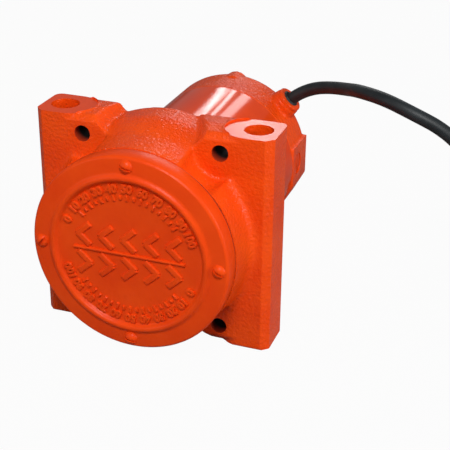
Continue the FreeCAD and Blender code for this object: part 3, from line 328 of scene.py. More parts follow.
def valley(foot, top, right_share=1.0):
    """Cutter for the gap between two lugs, narrower at its filleted foot and towards the back."""
    half = LUG_INNER + 2 * VALLEY_LEAN
    tool = block((-half, -VALLEY_BACK, min(foot, top)), (half, VALLEY_BACK, max(foot, top)))
    edit_edges(tool, lambda x, y, z: abs(z - foot) < 0.01)
    narrow = (half - abs(top - foot) * VALLEY_LEAN) / half
    bpy.ops.transform.resize(value=(narrow, 1, 1), center_override=(0, 0, 0))
    edit_edges(tool, lambda x, y, z: y > VALLEY_BACK - 0.1)
    bpy.ops.transform.resize(value=(VALLEY_BACK_SHARE, 1, 1), center_override=(0, 0, 0))
    edit_edges(tool, lambda x, y, z: y > VALLEY_BACK - 0.1 and x > 0)
    bpy.ops.transform.resize(value=(right_share, 1, 1), center_override=(0, 0, 0))
    return bevel(tool, VALLEY_FILLET, 4, lambda x, y, z: abs(z - foot) < 0.01 and abs(x) > 10)


def draft(way):
    """Cutter that slopes the top of the plate from its mid-plane to the front (-1) or the back (1)."""
    near, far = sorted((0, way * DRAFT_REACH))
    tool = block((-100, near, PLATE_TOP), (100, far, PLATE_TOP + 20))
    edit_edges(tool, lambda x, y, z: abs(y) > DRAFT_REACH - 1 and z < PLATE_TOP + 0.01)
    bpy.ops.transform.translate(value=(0, 0, -DRAFT_REACH * DRAFT * MM))
    bpy.ops.object.mode_set(mode="OBJECT")
    return tool


def pad_stamp(side, low, high, half):
    """Outline of a bolt pad, round at its inner end, as deep as it is cut."""
    stamp = rod(half, (side * PAD_CENTRE, 0, low), (side * PAD_CENTRE, 0, high), name="stamp")
    reach = sorted((side * PAD_CENTRE, side * (PLATE_HALF + 5)))
    return join(stamp, [block((reach[0], -half, low), (reach[1], half, high))])


# Vivid orange-red alkyd enamel, sprayed on unfilled sand-cast iron: semi-gloss, and pebbled
# where the skin of the casting is rough
enamel, shader = finish_of("rough_cast_enamel", Roughness=0.24, IOR=1.27)
place = add(enamel, "ShaderNodeTexCoord").outputs["Object"]
tone = add(enamel, "ShaderNodeTexNoise", {"Scale": 1 / (22 * MM), "Detail": 3.0}, Vector=place)
shade = add(enamel, "ShaderNodeValToRGB", {"stops": ((0.3, "#eb450b"), (0.7, "#f3500e"))}, Fac=tone)
sand = add(enamel, "ShaderNodeTexNoise", {"Scale": 1 / (2.1 * MM), "Detail": 2.5, "Roughness": 0.55},
           Vector=place)
orange_peel = add(enamel, "ShaderNodeTexNoise", {"Scale": 1 / (3.2 * MM), "Detail": 1.0}, Vector=place)
peel = add(enamel, "ShaderNodeBump", {"Strength": 0.12, "Distance": 0.2 * MM}, Height=orange_peel)
bump = add(enamel, "ShaderNodeBump", {"Strength": 0.9, "Distance": 0.95 * MM}, Height=sand, Normal=peel)
feed(enamel, shader, Base_Color=shade, Normal=bump)

# The same enamel on the milled pads, where it lies level and glossy
pad_enamel, shader = finish_of("milled_pad_enamel", Roughness=0.22, IOR=1.38)
place = add(pad_enamel, "ShaderNodeTexCoord").outputs["Object"]
tone = add(pad_enamel, "ShaderNodeTexNoise", {"Scale": 1 / (12 * MM), "Detail": 3.0}, Vector=place)
shade = add(pad_enamel, "ShaderNodeValToRGB", {"stops": ((0.0, "#e6420b"), (1.0, "#ec4a0e"))}, Fac=tone)
orange_peel = add(pad_enamel, "ShaderNodeTexNoise", {"Scale": 1 / (1.4 * MM), "Detail": 2.0}, Vector=place)
bump = add(pad_enamel, "ShaderNodeBump", {"Strength": 0.3, "Distance": 0.12 * MM}, Height=orange_peel)
feed(pad_enamel, shader, Base_Color=shade, Normal=bump)

# The face bolt holes were drilled through the casting: enamel drifted a few millimetres into
# them, and behind it their colour runs to near black, for bare brown iron and a painted shade of the deep bore
hole_iron_and_depth_shade, shader = finish_of("hole_iron_and_depth_shade", Roughness=0.65, IOR=1.4)
place = add(hole_iron_and_depth_shade, "ShaderNodeTexCoord").outputs["Object"]
deep = add(hole_iron_and_depth_shade, "ShaderNodeSeparateXYZ", Vector=place).outputs["Y"]
drift_and_depth_shade = add(hole_iron_and_depth_shade, "ShaderNodeMapRange", {1: -PLATE_DEPTH * MM, 2: (DRIFT - PLATE_DEPTH) * MM}, i0=deep)
# Orange at the mouth to near black deeper in: enamel drift, bare iron and painted shade of the bore in one
# ramp
shade = add(hole_iron_and_depth_shade, "ShaderNodeValToRGB", {"stops": ((0.15, "#b23108"), (1.0, "#140806"))}, Fac=drift_and_depth_shade)
scale = add(hole_iron_and_depth_shade, "ShaderNodeTexNoise", {"Scale": 1 / (1.2 * MM), "Detail": 2.0}, Vector=place)
bump = add(hole_iron_and_depth_shade, "ShaderNodeBump", {"Strength": 0.3, "Distance": 0.15 * MM}, Height=scale)
feed(hole_iron_and_depth_shade, shader, Base_Color=shade, Normal=bump)

housing = lug_plate(PAD_RAISE, PLATE_TOP)
cut(housing, [valley(PLATE_TOP - 1 - VALLEY_DEPTH, PLATE_TOP + 1, RIGHT_SHARE),
              valley(PAD_RAISE + VALLEY_DEPTH, -1), draft(-1), draft(1)])
for side in (-1, 1):
    pad = lug_plate(-MACHINING, PLATE_TOP + MACHINING)
    join(housing, [join(pad, [pad_stamp(side, -5, PLATE_TOP + 5, PAD_NOSE)], "INTERSECT")])

nose_front = NOSE_FRONT - MACHINING
root = NOSE_RADIUS + NOSE_SPREAD * (-PLATE_DEPTH - NOSE_FRONT)
nose = turned(((0.01, nose_front), (NOSE_RADIUS - 0.17, nose_front), (root - 0.7, -22.5), (root + 0.2, -18.5),
               (root + 1.6, -14.5), (root + 3.1, -9.5), (root + 4.3, -4.5), (root + 4.8, -0.8),
               (root + 4.8, 15.4), (root + 4.4, 16.5), (root + 3.2, PLATE_DEPTH), (0.01, PLATE_DEPTH)), "nose")
fillet = turned(((root - 8.0, -23.0), (root - 0.7, -22.5), (root + 0.4, -19.2), (root + 2.2, -17.6),
                 (root + 4.5, -16.9), (root + 4.5, -12.0), (root - 8.0, -12.0)), closed=True)
join(fillet, [block((-100, -30, AXIS - LUG_BAND), (100, 0, AXIS + LUG_BAND))], "INTERSECT")
join(nose, [fillet])
scallops = []
for x, z in FACE_HOLES:
    scallop = rod(SCALLOP_RADIUS, (x, NOSE_FRONT - 5, z), (x, -PLATE_DEPTH, z))
    scallops.append(bevel(scallop, SCALLOP_FILLET, 4, lambda x, y, z: y > -PLATE_DEPTH - 0.01))
join(housing, [cut(nose, scallops)])
cast(housing, GRIT, 2)
# The mould's fillets: at the root of the nose, and softer where it runs into lugs and scallops
nose_root = housing.vertex_groups.new(name="nose_root")
saddle = housing.vertex_groups.new(name="saddle")
for vertex in housing.data.vertices:
    x, y, z = vertex.co / MM
    reach = math.hypot(x, z - AXIS) - root
    to_scallop = min(abs(math.hypot(x - hole_x, z - hole_z) - SCALLOP_RADIUS) for hole_x, hole_z in FACE_HOLES)
    at_root = abs(x) < 75 and -22 < y < -12 and -8 < reach < 16
    by_lug = -3 < reach < 9 and abs(x) > 12 and abs(z - AXIS) > LUG_BAND
    by_scallop = y < -21 and to_scallop < 4
    if at_root:
        nose_root.add([vertex.index], 1.0, "REPLACE")
    elif by_lug or by_scallop:
        saddle.add([vertex.index], 1.0, "REPLACE")
modify(housing, "SMOOTH", iterations=ROOT_PASSES, factor=0.5, vertex_group="nose_root")
modify(housing, "SMOOTH", iterations=SADDLE_PASSES, factor=0.5, vertex_group="saddle")

spigot = turned(((SPIGOT_RADIUS, 10.0), (SPIGOT_RADIUS, SPIGOT_BACK), (SPIGOT_BORE, SPIGOT_BACK),
                 (SPIGOT_BORE, 10.0)), "spigot", closed=True)
join(housing, [spigot])
chamber = turned(((0.01, -60.0),) + CHAMBER + ((0.01, 30.0),))
bores = [rod(FOOT_BORE, (side * FOOT_BORE_X, 0, -5), (side * FOOT_BORE_X, 0, PLATE_TOP + 5))
         for side in (-1, 1)]
bores += [rod(FACE_HOLE, (x, -25, z), (x, 25, z), sides=48) for x, z in FACE_HOLES]
for quarter in range(4):
    x, z = round_shaft(SCREW_CIRCLE, 90 * quarter)
    bores.append(rod(SCREW_TAP, (x, NOSE_FRONT - 5, z), (x, NOSE_FRONT + SCREW_DEPTH, z), sides=24))
    x, z = round_shaft(RETAINER_CIRCLE, 90 * quarter + 45)
    bores.append(rod(RETAINER_TAP, (x, -6, z), (x, 7, z), sides=24))
for side in (-1, 1):
    z = AXIS + side * BOLT_CIRCLE
    bores.append(rod(BOLT_TAP, (0, 3, z), (0, 30, z), sides=24))
faces = [block((-100, -60, PLATE_TOP), (100, 40, PLATE_TOP + 20)), block((-100, -60, -20), (100, 40, 0)),
         block((-100, -60, -20), (100, NOSE_FRONT, 180))]
faces += [pad_stamp(side, PLATE_TOP - PAD_SUNK, PLATE_TOP + 20, PAD_NOSE + 0.05) for side in (-1, 1)]
cut(housing, [chamber] + bores + faces)
finish_piece(housing, "frame", [enamel, pad_enamel, hole_iron_and_depth_shade], ["housing"], angle=40)
for face in housing.data.polygons:
    x, y, z = face.center / MM
    if abs(face.normal.z) > 0.99 and (abs(z - PLATE_TOP + PAD_SUNK) < 0.05 or z < 0.05):
        face.material_index = 1
    elif any(math.hypot(x - hole_x, z - hole_z) < FACE_HOLE + 0.05 for hole_x, hole_z in FACE_HOLES):
        face.material_index = 2


# Cover gasket -----------------------------------------------------------------------------
# Compressed fibre sheet, punched to the nose and pinched under the cover. Enamel bridges its
# edge; towards the right-hand side its colour darkens to a deep red-brown, the bare fibre and a painted shade
# of the gap, which shows as a thin dark line.
fibre, shader = finish_of("red_fibre", Roughness=0.85, IOR=1.45)
place = add(fibre, "ShaderNodeTexCoord").outputs["Object"]
fleck = add(fibre, "ShaderNodeTexNoise", {"Scale": 1 / (0.9 * MM), "Detail": 3.0}, Vector=place)
side = add(fibre, "ShaderNodeSeparateXYZ", Vector=place).outputs["X"]
# Darker towards the right-hand side: painted shade of the gap between cover and nose, on the fibre's own
# red-brown
right_gap_shade = add(fibre, "ShaderNodeMapRange", {1: 34 * MM, 2: 46 * MM}, i0=side)
shade = add(fibre, "ShaderNodeValToRGB", {"stops": ((0.0, "#d8430f"), (1.0, "#7a1c06"))}, Fac=right_gap_shade)
bump = add(fibre, "ShaderNodeBump", {"Strength": 0.4, "Distance": 0.08 * MM}, Height=fleck)
feed(fibre, shader, Base_Color=shade, Normal=bump)

COVER_BACK, GASKET_MIDDLE = -41.5, -41.1
GASKET_RADIUS, GASKET_BORE = 67.2, 52.5
SCREW_CLEARANCE = 2.65


def screw_holes(front, back):
    holes = []
    for quarter in range(4):
        x, z = round_shaft(SCREW_CIRCLE, 90 * quarter)
        holes.append(rod(SCREW_CLEARANCE, (x, front, z), (x, back, z), sides=32))
    return holes


gasket = turned(((GASKET_RADIUS, NOSE_FRONT), (GASKET_RADIUS, GASKET_MIDDLE), (GASKET_RADIUS, COVER_BACK),
                 (GASKET_BORE, COVER_BACK), (GASKET_BORE, GASKET_MIDDLE), (GASKET_BORE, NOSE_FRONT)),
                "gasket_sheet", closed=True)
cut(gasket, screw_holes(-50, -30))
finish_piece(gasket, "frame", [fibre], ["cover_gasket"])


# Cover ------------------------------------------------------------------------------------
# Cast iron lid with a raised bead round a shallow disc. The disc carries a centre bar, plain
# chevrons and two scales of numbers in soft relief, the same whichever way up it is fitted.
COVER_FRONT, DISC_FACE = -54.5, -53.5
RELIEF, SOFT_EDGE = 1.5, 1.4
BAR_LENGTH, BAR_WIDTH = 77.0, 1.8
CHEVRON_PLACES = (-31.0, -15.5, 0.0, 15.5, 31.0)
CHEVRON_ARMS = ((13.6, 42), (6.6, -42))      # height over the bar and lean
ARM_LENGTH, ARM_WIDTH = 12.4, 4.4
TICK_RADIUS, TICK_WIDTH, TICK_STEP, LONG_TICK, SHORT_TICK = 39.6, 1.9, 6.6, 4.6, 3.0
NUMBER_RADIUS, NUMBER_SIZE, NUMBER_STEP = 45.6, 7.4, 13.2
cover_enamel, shader = finish_of("fine_cast_enamel", Roughness=0.34, IOR=1.22)
place = add(cover_enamel, "ShaderNodeTexCoord").outputs["Object"]
tone = add(cover_enamel, "ShaderNodeTexNoise", {"Scale": 1 / (26 * MM), "Detail": 3.0}, Vector=place)
shade = add(cover_enamel, "ShaderNodeValToRGB", {"stops": ((0.3, "#e7410b"), (0.7, "#ef4b0e"))}, Fac=tone)
swell = add(cover_enamel, "ShaderNodeTexNoise", {"Scale": 1 / (6 * MM), "Detail": 2.0}, Vector=place)
grain = add(cover_enamel, "ShaderNodeTexNoise", {"Scale": 1 / (1.6 * MM), "Detail": 1.5}, Vector=place)
peel = add(cover_enamel, "ShaderNodeBump", {"Strength": 0.16, "Distance": 0.5 * MM}, Height=swell)
bump = add(cover_enamel, "ShaderNodeBump", {"Strength": 0.4, "Distance": 0.3 * MM}, Height=grain, Normal=peel)
feed(cover_enamel, shader, Base_Color=shade, Normal=bump)

cover = turned((
    (0.01, DISC_FACE), (20.0, DISC_FACE), (48.9, DISC_FACE), (49.5, -53.6), (50.1, -54.1), (50.8, -55.1),
    (51.5, -56.0), (52.3, -56.5), (53.2, -56.6), (54.1, -56.3), (54.9, -55.6), (55.6, -54.95), (56.4, -54.6),
    (57.2, COVER_FRONT), (65.7, COVER_FRONT), (66.1, -54.4), (67.3, -53.2), (67.5, -52.7),
    (67.5, -42.1), (67.3, -41.6), (67.0, COVER_BACK), (51.98, COVER_BACK), (51.98, -38.5), (47.0, -38.5),
    (47.0, -49.0), (0.01, -49.0)), "cover_casting")
cut(cover, screw_holes(-60, -30))


def lean_over(piece, degrees, x, z):
    """Turns a mesh about a line along the shaft, anticlockwise as seen from the front."""
    pick(piece)
    bpy.ops.object.mode_set(mode="EDIT")
    bpy.ops.mesh.select_all(action="SELECT")
    bpy.ops.transform.rotate(value=math.radians(degrees), orient_axis="Y", center_override=(x * MM, 0, z * MM))
    bpy.ops.object.mode_set(mode="OBJECT")
    return piece


def turned_on_face(piece, degrees):
    """Turns a mesh about the shaft, clockwise as seen from the front."""
    return lean_over(piece, -degrees, 0, AXIS)


def gather(pieces, name):
    """Joins objects into one, each with its mesh as it is."""
    clear()
    for piece in pieces:
        piece.select_set(True)
    bpy.context.view_layer.objects.active = pieces[0]
    bpy.ops.object.join()
    joined = bpy.context.object
    joined.name = joined.data.name = name
    return joined


def raised_bar(x, z, length, width, lean=0):
    """Soft-edged bar standing on the disc, centred on (x, z) from the shaft."""
    face, sunk = DISC_FACE - RELIEF, DISC_FACE + 0.5
    bar = block((x - length / 2, face, AXIS + z - width / 2), (x + length / 2, sunk, AXIS + z + width / 2))
    bevel(bar, min(SOFT_EDGE, width * 0.4), 5, lambda x, y, z: y < face + 0.01)
    return lean_over(bar, lean, x, AXIS + z) if lean else bar


marks = [raised_bar(0, 0, BAR_LENGTH, BAR_WIDTH)]
for half in (0, 180):
    for x in CHEVRON_PLACES:
        for z, lean in CHEVRON_ARMS:
            marks.append(turned_on_face(raised_bar(x, z, ARM_LENGTH, ARM_WIDTH, lean), half))
    for tick in range(-8, 9):
        tall = LONG_TICK if tick % 2 == 0 else SHORT_TICK
        marks.append(turned_on_face(raised_bar(0, TICK_RADIUS, TICK_WIDTH, tall), half + TICK_STEP * tick))
for mark in marks:
    join(cover, [mark])

numbers = []
for half in (0, 180):
    for tick in range(11):
        clear()
        bpy.ops.object.text_add()
        label = bpy.context.object
        label.data.body = str(10 * tick)
        label.data.align_x, label.data.align_y = "CENTER", "CENTER"
        label.data.size = NUMBER_SIZE * MM
        label.data.offset = 0.12 * MM
        label.data.extrude = 0.85 * MM
        label.data.bevel_depth = 0.45 * MM
        label.data.bevel_resolution = 3
        label.data.resolution_u = 4
        bpy.ops.object.convert(target="MESH")
        label = bpy.context.object
        label.location = (0, (DISC_FACE - 0.1) * MM, (AXIS + NUMBER_RADIUS) * MM)
        label.rotation_euler = (math.pi / 2, 0, 0)
        named("number")
        pick(label)
        bpy.ops.object.mode_set(mode="EDIT")
        bpy.ops.mesh.select_all(action="SELECT")
        bpy.ops.mesh.remove_doubles(threshold=0.001 * MM)
        bpy.ops.object.mode_set(mode="OBJECT")
        numbers.append(turned_on_face(label, half + NUMBER_STEP * (tick - 5)))
finish_piece(cover, "frame", [cover_enamel], ["cover"], angle=35)
finish_piece(gather(numbers, "cover_numbers"), "frame", [cover_enamel], angle=35)


# Cover screws -----------------------------------------------------------------------------
# Four number 10 round-head steel screws. They were driven before the unit was sprayed, so
# enamel covers their heads and rounds the edges of their slots.
SCREW_HEAD, SCREW_RAISE, SCREW_SHANK = 4.6, 3.0, 2.4
SCREW_SLOTS = (-20.0, -30.0, -15.0, 50.0)
SLOT_BELOW, SLOT_ABOVE = 1.15, 0.45          # from the middle of the head


def cover_screw(quarter, slot_angle):
    x, z = round_shaft(SCREW_CIRCLE, 90 * quarter)
    dome = (SCREW_HEAD ** 2 + SCREW_RAISE ** 2) / (2 * SCREW_RAISE)
    clear()
    bpy.ops.mesh.primitive_uv_sphere_add(segments=48, ring_count=48, radius=dome * MM,
                                         location=(x * MM, (COVER_FRONT - SCREW_RAISE + dome) * MM, z * MM),
                                         rotation=(math.pi / 2, 0, 0))
    head = named("cover_screw")
    pick(head)
    bpy.ops.object.mode_set(mode="EDIT")
    bpy.ops.mesh.select_all(action="SELECT")
    bpy.ops.mesh.bisect(plane_co=(0, (COVER_FRONT - 0.02) * MM, 0), plane_no=(0, 1, 0),
                        clear_outer=True, use_fill=True)
    bpy.ops.object.mode_set(mode="OBJECT")
    slot = block((x - 6, COVER_FRONT - 4, z - SLOT_BELOW),
                 (x + 6, COVER_FRONT - SCREW_RAISE * 0.3, z + SLOT_ABOVE))
    cut(head, [lean_over(slot, slot_angle, x, z)])
    bevel(head, 0.12, 2, lambda x, y, z: y < COVER_FRONT - SCREW_RAISE * 0.5)
    return join(head, [rod(SCREW_SHANK, (x, COVER_FRONT - 0.3, z), (x, NOSE_FRONT + 10, z), sides=32)])


screws = gather([cover_screw(quarter, slot_angle) for quarter, slot_angle in enumerate(SCREW_SLOTS)],
                "cover_screws_painted")
finish_piece(screws, "frame", [cover_enamel], ["cover_screws"], angle=35)


# Motor shell ------------------------------------------------------------------------------
# Drawn 4 1/2 in steel tube with a 4 mm wall, held between the two castings. The enamel lies
# smooth and glossy on it, so lamps show as long streaks.
SHELL_RADIUS, SHELL_BORE, SHELL_FRONT, SHELL_MIDDLE, SEAM = 57.15, 53.15, 17.0, 67.0, 116.5
tube_enamel, shader = finish_of("glossy_tube_enamel", Roughness=0.13, IOR=1.3)
place = add(tube_enamel, "ShaderNodeTexCoord").outputs["Object"]
tone = add(tube_enamel, "ShaderNodeTexNoise", {"Scale": 1 / (30 * MM), "Detail": 3.0}, Vector=place)
shade = add(tube_enamel, "ShaderNodeValToRGB", {"stops": ((0.3, "#e6410c"), (0.7, "#ee490e"))}, Fac=tone)
swell = add(tube_enamel, "ShaderNodeTexNoise", {"Scale": 1 / (9 * MM), "Detail": 2.0}, Vector=place)
bump = add(tube_enamel, "ShaderNodeBump", {"Strength": 0.14, "Distance": 0.35 * MM}, Height=swell)
feed(tube_enamel, shader, Base_Color=shade, Normal=bump)

shell = turned(((SHELL_BORE, SHELL_FRONT), (56.9, SHELL_FRONT), (SHELL_RADIUS, SHELL_FRONT + 0.25),
                (SHELL_RADIUS, SHELL_MIDDLE), (SHELL_RADIUS, SEAM - 0.3), (56.85, SEAM), (SHELL_BORE, SEAM),
                (SHELL_BORE, SHELL_MIDDLE)), "motor_shell_tube", closed=True)
finish_piece(shell, "frame", [tube_enamel], ["motor_shell"])


# End bell ---------------------------------------------------------------------------------
# Iron casting that closes the motor. It holds the rear bearing, a brush pad and holder on each
# side, a boss for each through bolt, and the slanted boss of the cord gland.
BELL_BACK, BELL_WALL, BOSS_BACK = 154.0, 5.0, 156.5
BRUSH_STATION, PAD_OUT, PAD_HALF_HEIGHT = 128.5, 57.4, 15.0
SKIRT_OUT, SKIRT_FOOT = 48.6, 32.0
PAD_STOCK = 0.4              # left on a brush pad to be milled
HOLDER_BOSS, HOLDER_BORE = 11.5, 8.02
BOLT_BOSS, BOLT_COLUMN, BOLT_BORE, BOLT_POCKET, BOLT_SEAT = 9.3, 6.5, 3.25, 6.45, 148.8
BEARING_HUB, BEARING_BORE, BEARING_FRONT, BEARING_BACK = 25.0, 20.02, 137.0, 151.5
BELL_INSIDE, SHAFT_PASSAGE = 52.15, 13.0
GLAND_ANGLE, GLAND_STATION, GLAND_REACH, GLAND_SHANK = math.radians(44.5), 141.0, 62.5, 11.0
GLAND_BOSS, GLAND_BOSS_FACE, GLAND_BORE, GLAND_SPOT = 12.5, 10.4, 8.02, 20.0
GLAND_OUT = Vector((math.cos(GLAND_ANGLE), 0, math.sin(GLAND_ANGLE)))


def gland_point(distance):
    return Vector((0, GLAND_STATION, AXIS)) + GLAND_OUT * distance


def half_round(piece):
    """A copy, turned half round the shaft."""
    pick(piece)
    bpy.ops.object.duplicate()
    copy = bpy.context.object
    turned_on_face(copy, 180)
    return copy


bell = turned(((0.01, SEAM), (SHELL_RADIUS, SEAM), (SHELL_RADIUS, BELL_BACK - 8), (56.8, BELL_BACK - 5.6),
               (55.9, BELL_BACK - 3.8), (54.6, BELL_BACK - 2.2), (52.8, BELL_BACK - 0.9),
               (50.8, BELL_BACK - 0.2), (49.0, BELL_BACK), (BEARING_HUB, BELL_BACK), (BEARING_HUB, BOSS_BACK),
               (0.01, BOSS_BACK)), "end_bell_casting")
pad_face, pad_front, pad_back = PAD_OUT + PAD_STOCK, SEAM + 1.5, SEAM + 34.5
pad = block((35, pad_front, AXIS - PAD_HALF_HEIGHT), (pad_face, pad_back, AXIS + PAD_HALF_HEIGHT))
skirt = block((30, pad_front, AXIS - SKIRT_FOOT), (pad_face, pad_back, AXIS - PAD_HALF_HEIGHT + 0.1))
edit_edges(skirt, lambda x, y, z: z < AXIS - SKIRT_FOOT + 0.1)
bpy.ops.transform.translate(value=((SKIRT_OUT - pad_face) * MM, 0, 0))
bpy.ops.object.mode_set(mode="OBJECT")
join(pad, [skirt])
tabs = [pad, half_round(pad)]
for side in (-1, 1):
    z = AXIS + side * BOLT_CIRCLE
    tabs.append(rod(BOLT_BOSS, (0, BELL_BACK - 14, z), (0, BELL_BACK - 1.5, z)))
tabs.append(rod(GLAND_BOSS, gland_point(GLAND_REACH - 14), gland_point(GLAND_REACH + 0.4),
                tip=GLAND_BOSS_FACE))
join(bell, tabs)
cast(bell, 0.75, 5)
hollow = turned(((0.01, SEAM - 5), (BELL_INSIDE, SEAM - 5), (BELL_INSIDE, BELL_BACK - 11),
                 (50.6, BELL_BACK - 7.2), (46.7, BELL_BACK - BELL_WALL), (0.01, BELL_BACK - BELL_WALL)))
inside = [turned(((0.01, 138.3), (BEARING_HUB, 138.3), (BEARING_HUB, BELL_BACK - 2), (0.01, BELL_BACK - 2)))]
for side in (-1, 1):
    z = AXIS + side * BOLT_CIRCLE
    boss = rod(HOLDER_BOSS, (side * 40, BRUSH_STATION, AXIS), (side * 55, BRUSH_STATION, AXIS))
    inside += [boss, rod(BOLT_COLUMN, (0, SEAM, z), (0, BELL_BACK - 3, z))]
inside.append(rod(GLAND_BOSS, gland_point(GLAND_REACH - GLAND_SHANK - 1), gland_point(55.0)))
inside.append(turned(((SPIGOT_RADIUS, SEAM - 5), (SPIGOT_RADIUS, SEAM + 1), (SPIGOT_BORE, SEAM + 1),
                      (SPIGOT_BORE, SEAM - 5)), closed=True))
cut(bell, [hollow, block((-90, SEAM - 20, 0), (90, SEAM, 160)),
           block((PAD_OUT, SEAM, AXIS - 34), (90, BELL_BACK + 9, AXIS + PAD_HALF_HEIGHT + 1)),
           block((-90, SEAM, AXIS - PAD_HALF_HEIGHT - 1), (-PAD_OUT, BELL_BACK + 9, AXIS + 34))])
join(bell, inside)
holes = [turned(((0.01, BEARING_FRONT), (BEARING_BORE, BEARING_FRONT), (BEARING_BORE, BEARING_BACK),
                 (0.01, BEARING_BACK))), rod(SHAFT_PASSAGE, (0, 100, AXIS), (0, 140, AXIS))]
for side in (-1, 1):
    z = AXIS + side * BOLT_CIRCLE
    holes.append(rod(HOLDER_BORE, (side * 37, BRUSH_STATION, AXIS), (side * 62, BRUSH_STATION, AXIS)))
    holes.append(rod(BOLT_BORE, (0, 105, z), (0, BELL_BACK, z), sides=32))
    holes.append(rod(BOLT_POCKET, (0, BOLT_SEAT, z), (0, BELL_BACK + 1, z)))
holes.append(rod(GLAND_BORE, gland_point(GLAND_REACH - GLAND_SHANK - 6), gland_point(GLAND_REACH + 4)))
holes.append(rod(GLAND_SPOT, gland_point(GLAND_REACH), gland_point(GLAND_REACH + 8)))
cut(bell, holes)
finish_piece(bell, "frame", [enamel], ["end_bell"], angle=40)


# Brush caps -------------------------------------------------------------------------------
# Slotted screw caps that close the two brush holders. They were sprayed with the bell.
CAP_RADIUS, CAP_IN, CAP_OUT = 8.0, 51.4, 56.9
CAP_SLOT, CAP_SLOT_HALF = 55.3, 0.8          # foot and half width
for side, name in ((1, "right_brush_cap"), (-1, "left_brush_cap")):
    cap = rod(CAP_RADIUS, (side * CAP_IN, BRUSH_STATION, AXIS), (side * CAP_OUT, BRUSH_STATION, AXIS),
              name=name, sides=64)
    bevel(cap, 0.3, 2, lambda x, y, z: abs(x) > CAP_OUT - 0.1)
    near, far = sorted((side * CAP_SLOT, side * 60))
    cut(cap, [block((near, BRUSH_STATION - CAP_SLOT_HALF, AXIS - CAP_RADIUS - 1),
                    (far, BRUSH_STATION + CAP_SLOT_HALF, AXIS + CAP_RADIUS + 1))])
    finish_piece(cap, "frame", [cover_enamel], ["brush_caps"])


# Through bolts and washers ----------------------------------------------------------------
# Two zinc-plated M6 hexagon bolts sunk in the bell's bosses clamp bell, tube and housing.
zinc, shader = finish_of("bright_zinc", Metallic=1.0, Roughness=0.32)
place = add(zinc, "ShaderNodeTexCoord").outputs["Object"]
bloom = add(zinc, "ShaderNodeTexNoise", {"Scale": 1 / (3 * MM), "Detail": 3.0}, Vector=place)
shade = add(zinc, "ShaderNodeValToRGB", {"stops": ((0.0, "#b7bbbf"), (1.0, "#d3d6d8"))}, Fac=bloom)
bump = add(zinc, "ShaderNodeBump", {"Strength": 0.15, "Distance": 0.04 * MM}, Height=bloom)
feed(zinc, shader, Base_Color=shade, Normal=bump)

ACROSS_FLATS, HEAD_SEAT, HEAD_BACK = 10.0, 150.0, 154.0
BOLT_RADIUS, BOLT_TIP, WASHER_RADIUS = 3.0, 6.0, 6.2
for side, where in ((1, "upper"), (-1, "lower")):
    z = AXIS + side * BOLT_CIRCLE
    bolt = rod(ACROSS_FLATS / math.sqrt(3), (0, HEAD_SEAT, z), (0, HEAD_BACK, z),
               name=where + "_through_bolt", sides=6)
    bevel(bolt, 0.4, 2, lambda x, y, z: y > HEAD_BACK - 0.1)
    join(bolt, [rod(BOLT_RADIUS, (0, BOLT_TIP, z), (0, HEAD_SEAT + 0.5, z), sides=32)])
    finish_piece(bolt, "frame", [zinc], ["through_bolts"])
    washer = rod(WASHER_RADIUS, (0, BOLT_SEAT, z), (0, HEAD_SEAT, z), name=where + "_bolt_washer", sides=64)
    cut(washer, [rod(BOLT_BORE, (0, 140, z), (0, 155, z), sides=32)])
    bevel(washer, 0.2, 2, lambda x, y, z: y > HEAD_SEAT - 0.1)
    finish_piece(washer, "frame", [zinc], ["through_bolt_washers"])


# Cord gland and grommet -------------------------------------------------------------------
# A screwed bushing with a round rim, sprayed with the bell, grips a black rubber bushing that
# swells round the cord where it leaves.
GLAND_RADIUS, GLAND_THROAT, RIM_RADIUS, RIM = 8.0, 6.62, 10.0, 3.0
GROMMET_RADIUS, GROMMET_BORE, LIP_TIP = 6.6, 4.72, 5.6
gland = rod(GLAND_RADIUS, gland_point(GLAND_REACH - GLAND_SHANK), gland_point(GLAND_REACH + 0.2),
            name="cord_gland_bushing")
rim = rod(RIM_RADIUS, gland_point(GLAND_REACH), gland_point(GLAND_REACH + RIM), name="rim")
rim_end = gland_point(GLAND_REACH + RIM).dot(GLAND_OUT)
bevel(rim, 1.0, 4, lambda x, y, z: Vector((x, y, z)).dot(GLAND_OUT) > rim_end - 0.01)
join(gland, [rim])
cut(gland, [rod(GLAND_THROAT, gland_point(GLAND_REACH - 15), gland_point(GLAND_REACH + 9))])
finish_piece(gland, "frame", [enamel], ["cord_gland"])

rubber, shader = finish_of("black_rubber", Roughness=0.6, IOR=1.52)
place = add(rubber, "ShaderNodeTexCoord").outputs["Object"]
bloom = add(rubber, "ShaderNodeTexNoise", {"Scale": 1 / (2 * MM), "Detail": 3.0}, Vector=place)
shade = add(rubber, "ShaderNodeValToRGB", {"stops": ((0.0, "#131312"), (1.0, "#222120"))}, Fac=bloom)
bump = add(rubber, "ShaderNodeBump", {"Strength": 0.2, "Distance": 0.06 * MM}, Height=bloom)
feed(rubber, shader, Base_Color=shade, Normal=bump)

grommet = rod(GROMMET_RADIUS, gland_point(GLAND_REACH - GLAND_SHANK), gland_point(GLAND_REACH + RIM),
              name="grommet")
lip = rod(GROMMET_RADIUS, gland_point(GLAND_REACH + RIM - 0.1), gland_point(GLAND_REACH + RIM + 1),
          tip=LIP_TIP)
join(grommet, [lip])
cut(grommet, [rod(GROMMET_BORE, gland_point(GLAND_REACH - 15), gland_point(GLAND_REACH + 9))])
finish_piece(grommet, "frame", [rubber], ["cord_grommet"])


